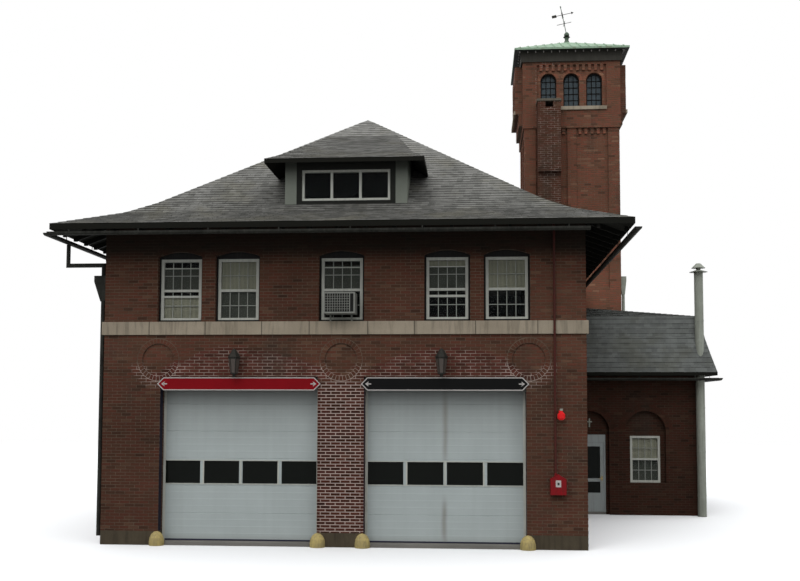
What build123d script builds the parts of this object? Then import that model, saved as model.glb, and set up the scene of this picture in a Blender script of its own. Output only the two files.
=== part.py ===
"""Two-bay brick fire station with a side wing and a square lookout tower.

Millimetres, +X to the right of the street front, +Y into the building, +Z up. The origin is
on the ground, in the middle of the main block's plan.
"""

import math
import os

from build123d import *

os.makedirs("parts", exist_ok=True)

# Main block
WIDTH = 10440
DEPTH = 15000
WALL = 400
FLOOR_TOP = 70
UPPER_FLOOR_TOP = 4200
UPPER_FLOOR_THICK = 250
ATTIC_FLOOR_THICK = 150
BELT_BASE = 4530
BELT_HEIGHT = 285
BELT_PROUD = 45

# Bays and piers
BAY_WIDTH = 3450
BAY_CENTRE = 2225
BAY_HEAD = 3620
PIER_BASE_HEIGHT = 300
PIER_BASE_PROUD = 15
DOOR_RECESS = 300
DOOR_THICK = 45
SECTIONS = 6
GLAZED_SECTION = 2
SECTION_GROOVE = 8
LIGHTS = 4
LIGHT_WIDTH = 790
LIGHT_HEIGHT = 490
GLASS_THICK = 8
ROUNDEL_RADIUS = 350
ROUNDEL_DEPTH = 30
ROUNDEL_HEIGHT = 3990
ROUNDEL_CENTRE = 4010

# Windows
WINDOW_WIDTH = 985
WINDOW_SPRING = 1430
WINDOW_RISE = 105
WINDOW_RECESS = 120
SASH_WIDTH = 900
SASH_HEIGHT = 1385
SASH_DEPTH = 90
SASH_STILE = 62
MEETING_RAIL = 55
SURROUND_DEPTH = 70
FRONT_WINDOWS = (-3555, -2280, 0, 2280, 3555)
LOWER_SILL = 1500
SIDE_WINDOW_PITCH = 3300

# Main roof: flared eaves that turn up into a steeper pitch
EAVE_TOP = 6840
OVERHANG = 910
ROOF_THICK = 120
FLARE_RUN = 1200
FLARE_SLOPE = 0.375
KNEE_RUN = 1750
KNEE_RISE = 760
ROOF_SLOPE = 0.708
RAFTER_WIDTH = 60
RAFTER_DEPTH = 110
RAFTER_PITCH = 600
RAFTER_START = 60
RAFTER_SNUB = 0.45
GUTTER_RADIUS = 75
GUTTER_WALL = 5
GUTTER_OUT = 65
GUTTER_DROP = 190
GUTTER_SIDES = 12
STRAP_PITCH = 1500
STRAP_WIDTH = 25
STRAP_THICK = 8

# Dormer
DORMER_WIDTH = 2750
DORMER_SETBACK = 650
DORMER_CHEEK = 150
DORMER_FACE = 957
DORMER_OVERHANG = 400
DORMER_ROOF_THICK = 90
DORMER_RUN = 4050
DORMER_SLOPE = 0.393
DORMER_HIP = ((0, 0), (300, 250), (935, 1592))
DORMER_WINDOW_WIDTH = 1990
DORMER_WINDOW_HEIGHT = 700
DORMER_SILL_RISE = 87
DORMER_FRAME = 55
DORMER_FRAME_SET = 30
DORMER_HATCH_END = 600
DORMER_LIGHTS = 3

# Wing
WING_WIDTH = 3800
WING_SETBACK = 7100
WING_SHORT = 900
WING_DEPTH = DEPTH - WING_SETBACK - WING_SHORT
WING_EAVE = 3930
WING_OVERHANG = 450
WING_SKIN = 80
WING_DECK = 40
WING_PROFILE = ((0, 0), (150, 510), (275, 970), (378, 1565), (3950, 2220))
ARCH_WIDTH = 1100
ARCH_SPRING = 2320
ARCH_RECESS = 110
ENTRANCE_FROM_BLOCK = 810
ENTRANCE_X = WIDTH / 2 + ENTRANCE_FROM_BLOCK
ENTRANCE_WIDTH = 920
ENTRANCE_HEAD = 2210
WING_WINDOW_FROM_BLOCK = 2360
WING_WINDOW_X = WIDTH / 2 + WING_WINDOW_FROM_BLOCK
WING_SASH_WIDTH = 820
WING_SASH_HEIGHT = 1290
WING_SILL = 890
WING_SIDE_WINDOW_PITCH = 2300
WING_BACK_WINDOW_SHIFT = 300

# Entrance door
JAMB = 45
LEAF_THICK = 40
LEAF_GAP = 5
LOCK_GAP = 8
LEAF_HEAD = 1990
LEAF_STILE = 95
LEAF_RAIL = 110
HINGE_HEIGHTS = (380, 1690)
KNUCKLE_RADIUS = 9
KNUCKLE_HALF = 40
PIN_RADIUS = 5
PIN_CLEARANCE = 0.08
HINGE_PLATE = 6

# Tower
TOWER_FROM_BLOCK = 700
TOWER_X = WIDTH / 2 + TOWER_FROM_BLOCK
TOWER_FROM_BACK = 4800
TOWER_SETBACK = DEPTH - TOWER_FROM_BACK
TOWER_WIDTH = 2960
TOWER_WALL = 300
BELFRY_BASE = 11750
BELFRY_TOP = 13870
BELFRY_PROUD = 40
PANEL_BASE = 6700
PANEL_DEPTH = 60
PANEL_WIDTH = 990
PANEL_CENTRE = 635
CORBEL_WIDTH = 95
CORBEL_HEIGHT = 190
CORBEL_PITCH = 190
BELFRY_PANEL = 2180
BELFRY_PANEL_HEAD = 90
SIDE_BAY_PROUD = 230
SIDE_BAY_FOOT = 370
BELFRY_SILL = 12430
TOWER_SILL_HEIGHT = 110
TOWER_SILL_PROUD = 50
TOWER_WINDOW_WIDTH = 500
TOWER_WINDOW_SPRING = 840
TOWER_WINDOW_PITCH = 715
TOWER_REVEAL = 110
TOWER_REBATE = 30
TOWER_FRAME = 40
TOWER_FRAME_DEPTH = 60
FRIEZE_HEIGHT = 330
FRIEZE_PROUD = 60
TOWER_EAVE_OUT = 270
TOWER_EAVE_EDGE = 60
TOWER_APEX_RISE = 800
FINIAL_TOP_HALF = 110

# Finial, spindle and vane
BALL_RADIUS = 85
FINIAL_SIDES = 12
SPINDLE_RADIUS = 12
SPINDLE_LENGTH = 1000
SPINDLE_LEAN = 11.5
VANE_HEIGHT = 700
VANE_HUB_LENGTH = 160
VANE_CLEARANCE = 0.1
VANE_HALF = 330

# Chimney
CHIMNEY_FROM_TOWER = 740
CHIMNEY_X = TOWER_X - CHIMNEY_FROM_TOWER
CHIMNEY_WIDTH = 705
CHIMNEY_DEEP = 600
CHIMNEY_STEP = 150
CHIMNEY_STEP_HEIGHT = 10250
CHIMNEY_TOP = 12460
CHIMNEY_CAP = 70
CHIMNEY_CAP_OUT = 25

# Fittings
SIGN_LENGTH = 3580
SIGN_HEIGHT = 280
SIGN_BASE = 3325
SIGN_THICK = 30
LANTERN_HEIGHT = 3610
LANTERN_SHIFT = 60
LANTERN_OUT = 190
LANTERN_FOOT = 60
LANTERN_EYE = 420
LANTERN_TOP = 600
ALARM_FROM_CORNER = 620
ALARM_X = WIDTH / 2 - ALARM_FROM_CORNER
ALARM_BASE = 1150
ALARM_HALF = 165
ALARM_SIDE = 330
ALARM_PEAK = 430
ALARM_DEEP = 160
CONDUIT_RADIUS = 25
CONDUIT_SHIFT = 50
CONDUIT_GAP = 0.3
LAMP_FROM_CORNER = 550
LAMP_X = WIDTH / 2 - LAMP_FROM_CORNER
LAMP_HEIGHT = 2710
LAMP_RADIUS = 80
LAMP_SIDES = 8
LAMP_OUT = 150
COOLER_HALF = 330
COOLER_OUT = 350
COOLER_LIFT = 145
COOLER_HEIGHT = 450
COOLER_LEG = 30
COOLER_LEG_PITCH = 460
GUARD_RADIUS = 165
GUARD_HEIGHT = 300
GUARD_SHOULDER = 80
GUARD_STEPS = 4
DUCT_FROM_WING = 30
DUCT_X = WIDTH / 2 + WING_WIDTH + DUCT_FROM_WING
DUCT_RADIUS = 120
DUCT_SETBACK = 6900
DUCT_TOP = 6720
DUCT_GAP = 0.4
RAIN_CAP_SIDES = 20
SPOUT_RADIUS = 48
SPOUT_SIDES = 8
SPOUT_OUT = 160
SPOUT_BEND = 6110
SPOUT_FOOT = 150
LEADER_HALF = 155
LEADER_TOP = 5860
LEADER_RIM = 130
LEADER_LENGTH = 560
TOWER_LEADER_HALF = 90
TOWER_LEADER_TOP = 7050

FRONT = -DEPTH / 2
BACK = DEPTH / 2
HALF = WIDTH / 2
BELT_TOP = BELT_BASE + BELT_HEIGHT
WALL_TOP = EAVE_TOP - ROOF_THICK + FLARE_SLOPE * OVERHANG
TOWER_Y = FRONT + TOWER_SETBACK + TOWER_WIDTH / 2
TOWER_HALF = TOWER_WIDTH / 2
BELFRY_HALF = TOWER_HALF + BELFRY_PROUD
WING_FRONT = FRONT + WING_SETBACK
WING_BACK = WING_FRONT + WING_DEPTH
WING_RIGHT = HALF + WING_WIDTH
WING_Y = (WING_FRONT + WING_BACK) / 2
SIDES = ("front", "right", "back", "left")


def wall_plane(side, half_x, half_y, centre=(0, 0)):
    """Outer face of a block: local x runs to the right as seen from outside, local y is up."""
    turn = math.radians(90 * SIDES.index(side))
    reach = half_y if side in ("front", "back") else half_x
    out = (math.sin(turn), -math.cos(turn), 0)
    origin = (centre[0] + reach * out[0], centre[1] + reach * out[1], 0)
    return Plane(origin=origin, x_dir=(math.cos(turn), math.sin(turn), 0), z_dir=out)


def box_between(low, high):
    """Solid box from one corner to the opposite one."""
    with BuildPart() as block:
        with BuildSketch(Plane.XY.offset(low[2])):
            with Locations(((low[0] + high[0]) / 2, (low[1] + high[1]) / 2)):
                Rectangle(high[0] - low[0], high[1] - low[1])
        extrude(amount=high[2] - low[2])
    return block.part


def boxes(*corners):
    """Several boxes as one part, each from a pair of opposite corners."""
    with BuildPart() as group:
        for low, high in corners:
            add(box_between(low, high))
    return group.part


def arch(width, spring, rise):
    """Opening outline above its sill: straight jambs up to spring, then an arc."""
    half = width / 2
    with BuildSketch() as outline:
        with BuildLine():
            Polyline((half, spring), (half, 0), (-half, 0), (-half, spring))
            ThreePointArc((-half, spring), (0, spring + rise), (half, spring))
        make_face()
    return outline.sketch


def oblong(width, height):
    """Rectangle that stands on its sill line."""
    with BuildSketch() as outline:
        with Locations((0, height / 2)):
            Rectangle(width, height)
    return outline.sketch


def raised(plane, outlines, start, depth):
    """Extrude outlines placed at (x, sill, outline), from start in behind the plane to depth."""
    with BuildPart() as piece:
        with BuildSketch(plane.offset(-start)):
            for x, sill, outline in outlines:
                with Locations((x, sill)):
                    add(outline)
        extrude(amount=-depth)
    return piece.part


def cut(part, *tools):
    """Part less the given tools."""
    with BuildPart() as result:
        add(part)
        for tool in tools:
            add(tool, mode=Mode.SUBTRACT)
    return result.part


def common(part, tool):
    """What two parts share."""
    with BuildPart() as result:
        add(part)
        add(tool, mode=Mode.INTERSECT)
    return result.part


def joined(*parts):
    """Several parts in one node."""
    with BuildPart() as result:
        for part in parts:
            add(part)
    return result.part


def narrowing(wide, narrow, rise):
    """Extrude the last sketch from its wide end, its half width going from wide to narrow."""
    extrude(amount=rise, taper=math.degrees(math.atan((wide - narrow) / abs(rise))))


def wide_end(half, low, top_half, high):
    """Half widths from the wider end to the other, the wider end's height and the way to go."""
    if half >= top_half:
        return half, top_half, low, high - low
    return top_half, half, high, low - high


def frustum(half, low, top_half, high, centre):
    """Square block that narrows or widens from half at low to top_half at high."""
    wide, narrow, base, rise = wide_end(half, low, top_half, high)
    with BuildPart() as block:
        with BuildSketch(Plane.XY.offset(base)):
            with Locations(centre):
                Rectangle(2 * wide, 2 * wide)
        narrowing(wide, narrow, rise)
    return block.part


def polygon_frustum(radius, low, top_radius, high, centre, sides):
    """Block with many sides whose corner radius goes from radius at low to top_radius at high."""
    flat = math.cos(math.pi / sides)
    wide, narrow, base, rise = wide_end(radius, low, top_radius, high)
    with BuildPart() as block:
        with BuildSketch(Plane.XY.offset(base)):
            with Locations(centre):
                RegularPolygon(wide, sides)
        narrowing(flat * wide, flat * narrow, rise)
    return block.part


def quarter(radius, rise, steps, middle=(0, 0)):
    """Points of a quarter ellipse, from its side up to its crown."""
    turns = [math.radians(90 * step / steps) for step in range(steps + 1)]
    return [(middle[0] + radius * math.cos(a), middle[1] + rise * math.sin(a)) for a in turns]


def save(part, name):
    """Label a finished piece and write it."""
    part.label = name
    export_step(part, f"parts/{name}.step")


def hip_section(half, base, eave, profile, reach):
    """Outline of a roof section whose two slopes rise along profile and stop at reach."""
    slope = [(-half + run, eave + rise) for run, rise in profile if run < reach]
    top = eave + profile_rise(profile, reach)
    peak = [(-half + reach, top)]
    if reach < half:
        peak.append((half - reach, top))
    fall = [(-x, z) for x, z in reversed(slope)]
    return [(-half, base)] + slope + peak + fall + [(half, base)]


def profile_rise(profile, run):
    """Height of a roof profile above its eave, at a distance in from the eave."""
    for (run_a, rise_a), (run_b, rise_b) in zip(profile, profile[1:]):
        if run <= run_b:
            return rise_a + (rise_b - rise_a) * (run - run_a) / (run_b - run_a)
    (run_a, rise_a), (run_b, rise_b) = profile[-2:]
    return rise_b + (rise_b - rise_a) * (run - run_b) / (run_b - run_a)


def hip_solid(half_x, half_y, base, eave, profile, centre=(0, 0)):
    """Everything under a hipped roof, from base up: two crossed sections, intersected."""
    reach = min(half_x, half_y)
    across = Plane(origin=(centre[0], centre[1], 0), x_dir=(1, 0, 0), z_dir=(0, -1, 0))
    along = Plane(origin=(centre[0], centre[1], 0), x_dir=(0, 1, 0), z_dir=(1, 0, 0))
    with BuildPart() as solid:
        with BuildSketch(across):
            with BuildLine():
                Polyline(*hip_section(half_x, base, eave, profile, reach), close=True)
            make_face()
        extrude(amount=half_y, both=True)
        with BuildSketch(along):
            with BuildLine():
                Polyline(*hip_section(half_y, base, eave, profile, reach), close=True)
            make_face()
        extrude(amount=half_x, both=True, mode=Mode.INTERSECT)
    return solid.part


MAIN_PROFILE = (
    (0, 0),
    (FLARE_RUN, FLARE_RUN * FLARE_SLOPE),
    (KNEE_RUN, KNEE_RISE),
    (KNEE_RUN + 1000, KNEE_RISE + 1000 * ROOF_SLOPE),
)
ROOF_X = HALF + OVERHANG
ROOF_Y = BACK + OVERHANG
main_outer = hip_solid(ROOF_X, ROOF_Y, EAVE_TOP - ROOF_THICK, EAVE_TOP, MAIN_PROFILE)
main_inner = hip_solid(ROOF_X, ROOF_Y, EAVE_TOP - 2 * ROOF_THICK, EAVE_TOP - ROOF_THICK, MAIN_PROFILE)
tower_space = box_between(
    (TOWER_X - TOWER_HALF, TOWER_Y - TOWER_HALF, 0),
    (TOWER_X + TOWER_HALF, TOWER_Y + TOWER_HALF, BELFRY_BASE),
)
front_face = wall_plane("front", HALF, BACK)

# Ground and upper floors
inner_x = HALF - WALL
inner_y = BACK - WALL
floor_boxes = [
    ((-inner_x, -inner_y, 0), (inner_x, inner_y, FLOOR_TOP)),
    ((HALF, WING_FRONT + WALL, 0), (WING_RIGHT - WALL, WING_BACK - WALL, FLOOR_TOP)),
    (
        (ENTRANCE_X - ENTRANCE_WIDTH / 2, WING_FRONT + ARCH_RECESS, 0),
        (ENTRANCE_X + ENTRANCE_WIDTH / 2, WING_FRONT + WALL, FLOOR_TOP),
    ),
]
for bay in (-BAY_CENTRE, BAY_CENTRE):
    floor_boxes.append(((bay - BAY_WIDTH / 2, FRONT, 0), (bay + BAY_WIDTH / 2, -inner_y, FLOOR_TOP)))
tower_inner = TOWER_HALF - TOWER_WALL
tower_floor = box_between(
    (TOWER_X - tower_inner, TOWER_Y - tower_inner, 0),
    (TOWER_X + tower_inner, TOWER_Y + tower_inner, FLOOR_TOP),
)
save(joined(cut(boxes(*floor_boxes), tower_space), tower_floor), "ground_floor")

upper_floor = box_between(
    (-inner_x, -inner_y, UPPER_FLOOR_TOP - UPPER_FLOOR_THICK), (inner_x, inner_y, UPPER_FLOOR_TOP)
)

attic_floor = box_between(
    (-inner_x, -inner_y, WALL_TOP - ATTIC_FLOOR_THICK), (inner_x, inner_y, WALL_TOP)
)
belfry_floor = box_between(
    (TOWER_X - tower_inner, TOWER_Y - tower_inner, BELFRY_BASE - ATTIC_FLOOR_THICK),
    (TOWER_X + tower_inner, TOWER_Y + tower_inner, BELFRY_BASE),
)
save(joined(cut(upper_floor, tower_space), cut(attic_floor, tower_space), belfry_floor), "upper_floors")

# Front wall
pier_spans = (
    (-HALF, -BAY_CENTRE - BAY_WIDTH / 2),
    (-BAY_CENTRE + BAY_WIDTH / 2, BAY_CENTRE - BAY_WIDTH / 2),
    (BAY_CENTRE + BAY_WIDTH / 2, HALF),
)
save(
    boxes(*[((a, FRONT, PIER_BASE_HEIGHT), (b, FRONT + WALL, BAY_HEAD)) for a, b in pier_spans]),
    "front_piers",
)
save(
    boxes(*[((a, FRONT - PIER_BASE_PROUD, 0), (b, FRONT + WALL, PIER_BASE_HEIGHT)) for a, b in pier_spans]),
    "pier_bases",
)

with BuildPart() as spandrel:
    with BuildSketch(front_face):
        with Locations((0, (BAY_HEAD + BELT_BASE) / 2)):
            Rectangle(WIDTH, BELT_BASE - BAY_HEAD)
    extrude(amount=-WALL)
    with BuildSketch(front_face):
        with Locations(*[(x, ROUNDEL_HEIGHT) for x in (-ROUNDEL_CENTRE, 0, ROUNDEL_CENTRE)]):
            Circle(ROUNDEL_RADIUS)
    extrude(amount=-ROUNDEL_DEPTH, mode=Mode.SUBTRACT)
save(spandrel.part, "front_spandrel")


def spread(count, pitch, middle=0):
    """Evenly spaced places about a middle."""
    return [middle + (i - (count - 1) / 2) * pitch for i in range(count)]


window_outline = arch(WINDOW_WIDTH, WINDOW_SPRING, WINDOW_RISE)
side_span = DEPTH - 2 * WALL
right_lower_wall = ((HALF - WALL, FRONT + WALL, 0), (HALF, BACK - WALL, BELT_BASE))


def storey(plane, span, low, high, places, sill):
    """One storey of a straight wall, with its windows cut through."""
    body = raised(plane, [((span[0] + span[1]) / 2, low, oblong(span[1] - span[0], high - low))], 0, WALL)
    holes = raised(plane, [(x, sill, window_outline) for x in places], 0, WALL)
    return cut(body, holes)


front_windows = [("front", x, BELT_TOP) for x in FRONT_WINDOWS]
save(storey(front_face, (-HALF, HALF), BELT_TOP, WALL_TOP, FRONT_WINDOWS, BELT_TOP), "front_upper_wall")

left_places = spread(4, SIDE_WINDOW_PITCH)
back_places = spread(3, SIDE_WINDOW_PITCH)
right_places = [FRONT + WING_SETBACK / 2 + d for d in (-1300, 1300)]
left_face = wall_plane("left", HALF, BACK)
back_face = wall_plane("back", HALF, BACK)
right_face = wall_plane("right", HALF, BACK)
side_half = side_span / 2
save(
    joined(
        storey(left_face, (-side_half, side_half), 0, BELT_BASE, left_places, LOWER_SILL),
        storey(left_face, (-side_half, side_half), BELT_TOP, WALL_TOP, left_places, BELT_TOP),
    ),
    "left_wall",
)
save(
    joined(
        storey(back_face, (-HALF, HALF), 0, BELT_BASE, back_places, LOWER_SILL),
        storey(back_face, (-HALF, HALF), BELT_TOP, WALL_TOP, back_places, BELT_TOP),
    ),
    "back_wall",
)
save(
    cut(
        joined(
            box_between(*right_lower_wall),
            storey(right_face, (-side_half, side_half), BELT_TOP, WALL_TOP, right_places, BELT_TOP),
        ),
        tower_space,
    ),
    "right_wall",
)

belt_out = HALF + BELT_PROUD
belt_courses = boxes(
    ((-belt_out, FRONT - BELT_PROUD, BELT_BASE), (belt_out, FRONT + WALL, BELT_TOP)),
    ((-belt_out, BACK - WALL, BELT_BASE), (belt_out, BACK + BELT_PROUD, BELT_TOP)),
)
side_belts = boxes(
    ((-belt_out, FRONT + WALL, BELT_BASE), (-inner_x, BACK - WALL, BELT_TOP)),
    ((inner_x, FRONT + WALL, BELT_BASE), (belt_out, BACK - WALL, BELT_TOP)),
)
wing_half_y = WING_DEPTH / 2 + WING_OVERHANG
over_wing = box_between(
    (HALF, WING_Y - wing_half_y, BELT_BASE), (belt_out, WING_Y + wing_half_y, BELT_TOP)
)
save(joined(belt_courses, cut(side_belts, tower_space, over_wing)), "belt_course")

# Windows of the main block
all_windows = front_windows + [("left", x, sill) for x in left_places for sill in (LOWER_SILL, BELT_TOP)]
all_windows += [("back", x, sill) for x in back_places for sill in (LOWER_SILL, BELT_TOP)]
all_windows += [("right", x, BELT_TOP) for x in right_places]


def sash_outline(width, height):
    """Double-hung window frame: stiles, head, sill and the meeting rail across the middle."""
    light = (height - 2 * SASH_STILE - MEETING_RAIL) / 2
    with BuildSketch() as outline:
        with Locations((0, height / 2)):
            Rectangle(width, height)
        with Locations((0, SASH_STILE + light / 2), (0, height - SASH_STILE - light / 2)):
            Rectangle(width - 2 * SASH_STILE, light, mode=Mode.SUBTRACT)
    return outline.sketch


def window_set(windows, half_x, half_y, centre, outline, start, depth):
    """The same piece in every window of a block."""
    pieces = []
    for side in SIDES:
        places = [(x, sill, outline) for at, x, sill in windows if at == side]
        if places:
            pieces.append(raised(wall_plane(side, half_x, half_y, centre), places, start, depth))
    return joined(*pieces)


def less(outline, hole):
    """Outline with a hole in it."""
    with BuildSketch() as result:
        add(outline)
        add(hole, mode=Mode.SUBTRACT)
    return result.sketch


def glass_outline(width, height):
    """Both lights of a double-hung window."""
    return less(oblong(width, height), sash_outline(width, height))


surround_outline = less(window_outline, oblong(SASH_WIDTH, SASH_HEIGHT))
sash = sash_outline(SASH_WIDTH, SASH_HEIGHT)
glass = glass_outline(SASH_WIDTH, SASH_HEIGHT)
block = (HALF, BACK, (0, 0))
save(window_set(all_windows, *block, surround_outline, WINDOW_RECESS, SURROUND_DEPTH), "window_surrounds")
main_sashes = window_set(all_windows, *block, sash, WINDOW_RECESS, SASH_DEPTH)
glass_start = WINDOW_RECESS + (SASH_DEPTH - GLASS_THICK) / 2
main_glass = window_set(all_windows, *block, glass, glass_start, GLASS_THICK)

# Bay doors: six hinged sections, the third one glazed
section_height = (BAY_HEAD - FLOOR_TOP) / SECTIONS
section_top = FRONT + DOOR_RECESS


def plain_section():
    """One door section with a groove along its upper and lower front edges."""
    with BuildPart() as section:
        with BuildSketch(Plane.YZ.offset(-BAY_WIDTH / 2)):
            with BuildLine():
                Polyline(
                    (SECTION_GROOVE, 0),
                    (DOOR_THICK, 0),
                    (DOOR_THICK, section_height),
                    (SECTION_GROOVE, section_height),
                    (0, section_height - SECTION_GROOVE),
                    (0, SECTION_GROOVE),
                    close=True,
                )
            make_face()
        extrude(amount=BAY_WIDTH)
    return section.part


def bay_door(middle):
    """All six sections of one door about its middle line."""
    light_pitch = BAY_WIDTH / LIGHTS
    lights = raised(
        Plane.XZ,
        [(x, (section_height - LIGHT_HEIGHT) / 2, oblong(LIGHT_WIDTH, LIGHT_HEIGHT))
         for x in spread(LIGHTS, light_pitch)],
        0,
        DOOR_THICK,
    )
    sections = []
    for level in range(SECTIONS):
        piece = plain_section()
        if level == GLAZED_SECTION:
            piece = cut(piece, lights)
        sections.append(piece.moved(Location((middle, section_top, FLOOR_TOP + level * section_height))))
    return Compound(children=sections)


def bay_glass(middle):
    """The panes of one door's glazed section."""
    sill = FLOOR_TOP + GLAZED_SECTION * section_height + (section_height - LIGHT_HEIGHT) / 2
    light = oblong(LIGHT_WIDTH, LIGHT_HEIGHT)
    places = [(x, sill, light) for x in spread(LIGHTS, BAY_WIDTH / LIGHTS, middle)]
    start = DOOR_RECESS + (DOOR_THICK - GLASS_THICK) / 2
    return raised(front_face, places, start, GLASS_THICK)


save(bay_door(-BAY_CENTRE), "bay_door_left")
save(bay_door(BAY_CENTRE), "bay_door_right")
save(joined(bay_glass(-BAY_CENTRE), bay_glass(BAY_CENTRE)), "bay_door_glass")

# Dormer
dormer_front = FRONT + DORMER_SETBACK
dormer_edge = dormer_front - DORMER_OVERHANG
dormer_half = DORMER_WIDTH / 2
dormer_out = dormer_half + DORMER_OVERHANG
dormer_foot = EAVE_TOP + profile_rise(MAIN_PROFILE, OVERHANG + DORMER_SETBACK)
DORMER_EAVE = dormer_foot + DORMER_FACE
DORMER_WINDOW_SILL = dormer_foot + DORMER_SILL_RISE
DORMER_TOP = DORMER_EAVE + DORMER_RUN * DORMER_SLOPE


def dormer_solid(drop):
    """Space under the dormer's hipped shed roof, lowered by drop."""
    eave = DORMER_EAVE - drop
    base = DORMER_EAVE - DORMER_ROOF_THICK - drop
    top = eave + DORMER_RUN * DORMER_SLOPE
    sides = [(-dormer_out + run, eave + rise) for run, rise in DORMER_HIP]
    with BuildPart() as solid:
        with BuildSketch(Plane.YZ):
            with BuildLine():
                Polyline(
                    (dormer_edge, base),
                    (dormer_edge, eave),
                    (dormer_edge + DORMER_RUN, top),
                    (dormer_edge + DORMER_RUN, base),
                    close=True,
                )
            make_face()
        extrude(amount=dormer_out, both=True)
        with BuildSketch(Plane.XZ.offset(-dormer_edge - DORMER_RUN)):
            with BuildLine():
                Polyline(
                    (-dormer_out, base),
                    *sides,
                    *[(-x, z) for x, z in reversed(sides)],
                    (dormer_out, base),
                    close=True,
                )
            make_face()
        extrude(amount=DORMER_RUN, mode=Mode.INTERSECT)
    return solid.part


dormer_outer = dormer_solid(0)
dormer_inner = dormer_solid(DORMER_ROOF_THICK)
roof_below = hip_solid(ROOF_X, ROOF_Y, 0, EAVE_TOP, MAIN_PROFILE)
save(cut(dormer_outer, dormer_inner, roof_below), "dormer_roof")

cheek_in = dormer_half - DORMER_CHEEK
room_back = dormer_edge + DORMER_RUN
dormer_box = box_between((-dormer_half, dormer_front, EAVE_TOP), (dormer_half, room_back, DORMER_TOP))
dormer_void = box_between(
    (-cheek_in, dormer_front + DORMER_CHEEK, 0), (cheek_in, room_back, DORMER_TOP)
)
dormer_face = Plane.XZ.offset(-dormer_front)
dormer_hole = raised(
    dormer_face, [(0, DORMER_WINDOW_SILL, oblong(DORMER_WINDOW_WIDTH, DORMER_WINDOW_HEIGHT))], 0, DORMER_CHEEK
)
under_dormer = joined(
    dormer_inner,
    box_between(
        (-dormer_out, dormer_edge, EAVE_TOP), (dormer_out, room_back, DORMER_EAVE - 2 * DORMER_ROOF_THICK)
    ),
)
save(
    cut(common(dormer_box, under_dormer), dormer_void, dormer_hole, roof_below),
    "dormer_walls",
)


def dormer_frame_outline():
    """Three-light frame of the dormer window."""
    light = (DORMER_WINDOW_WIDTH - DORMER_FRAME * (DORMER_LIGHTS + 1)) / DORMER_LIGHTS
    with BuildSketch() as outline:
        with Locations((0, DORMER_WINDOW_HEIGHT / 2)):
            Rectangle(DORMER_WINDOW_WIDTH, DORMER_WINDOW_HEIGHT)
            with Locations(*[(x, 0) for x in spread(DORMER_LIGHTS, light + DORMER_FRAME)]):
                Rectangle(light, DORMER_WINDOW_HEIGHT - 2 * DORMER_FRAME, mode=Mode.SUBTRACT)
    return outline.sketch


dormer_frame = dormer_frame_outline()
dormer_lights = less(oblong(DORMER_WINDOW_WIDTH, DORMER_WINDOW_HEIGHT), dormer_frame)
dormer_window = raised(dormer_face, [(0, DORMER_WINDOW_SILL, dormer_frame)], DORMER_FRAME_SET, SASH_DEPTH)
save(dormer_window, "dormer_window")
dormer_glass = raised(
    dormer_face, [(0, DORMER_WINDOW_SILL, dormer_lights)], DORMER_FRAME_SET + SASH_DEPTH / 2, GLASS_THICK
)

# Main roof
hatch = common(
    box_between(
        (-cheek_in, dormer_front + DORMER_CHEEK, EAVE_TOP),
        (cheek_in, room_back - DORMER_HATCH_END, DORMER_TOP),
    ),
    under_dormer,
)
save(cut(main_outer, main_inner, tower_space, hatch), "main_roof")


def rafter(side, place, run_end):
    """One rafter tail under the flared eave: its top lies against the roof."""
    under = EAVE_TOP - ROOF_THICK
    plane = wall_plane(side, ROOF_X, ROOF_Y)
    across = Plane(origin=plane.from_local_coords((place, 0, 0)), x_dir=-plane.z_dir, z_dir=plane.x_dir)
    start = RAFTER_START
    with BuildPart() as tail:
        with BuildSketch(across):
            with BuildLine():
                Polyline(
                    (start, under + FLARE_SLOPE * start),
                    (start, under + FLARE_SLOPE * start - RAFTER_DEPTH * RAFTER_SNUB),
                    (start + RAFTER_DEPTH, under + FLARE_SLOPE * (start + RAFTER_DEPTH) - RAFTER_DEPTH),
                    (run_end, under + FLARE_SLOPE * run_end - RAFTER_DEPTH),
                    (run_end, under + FLARE_SLOPE * run_end),
                    close=True,
                )
            make_face()
        extrude(amount=RAFTER_WIDTH / 2, both=True)
    return tail.part


def rafter_row(side, length, skip=None):
    """Rafter tails along one eave, left out where the tower stands."""
    count = int(length / RAFTER_PITCH)
    row = [rafter(side, place, OVERHANG) for place in spread(count, RAFTER_PITCH)
           if skip is None or not skip[0] < place < skip[1]]
    return row


tower_gap = (TOWER_Y - TOWER_HALF - RAFTER_WIDTH, TOWER_Y + TOWER_HALF + RAFTER_WIDTH)
rafters = rafter_row("front", WIDTH) + rafter_row("back", WIDTH)
rafters += rafter_row("left", DEPTH) + rafter_row("right", DEPTH, tower_gap)
save(Compound(children=rafters), "rafter_tails")


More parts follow.
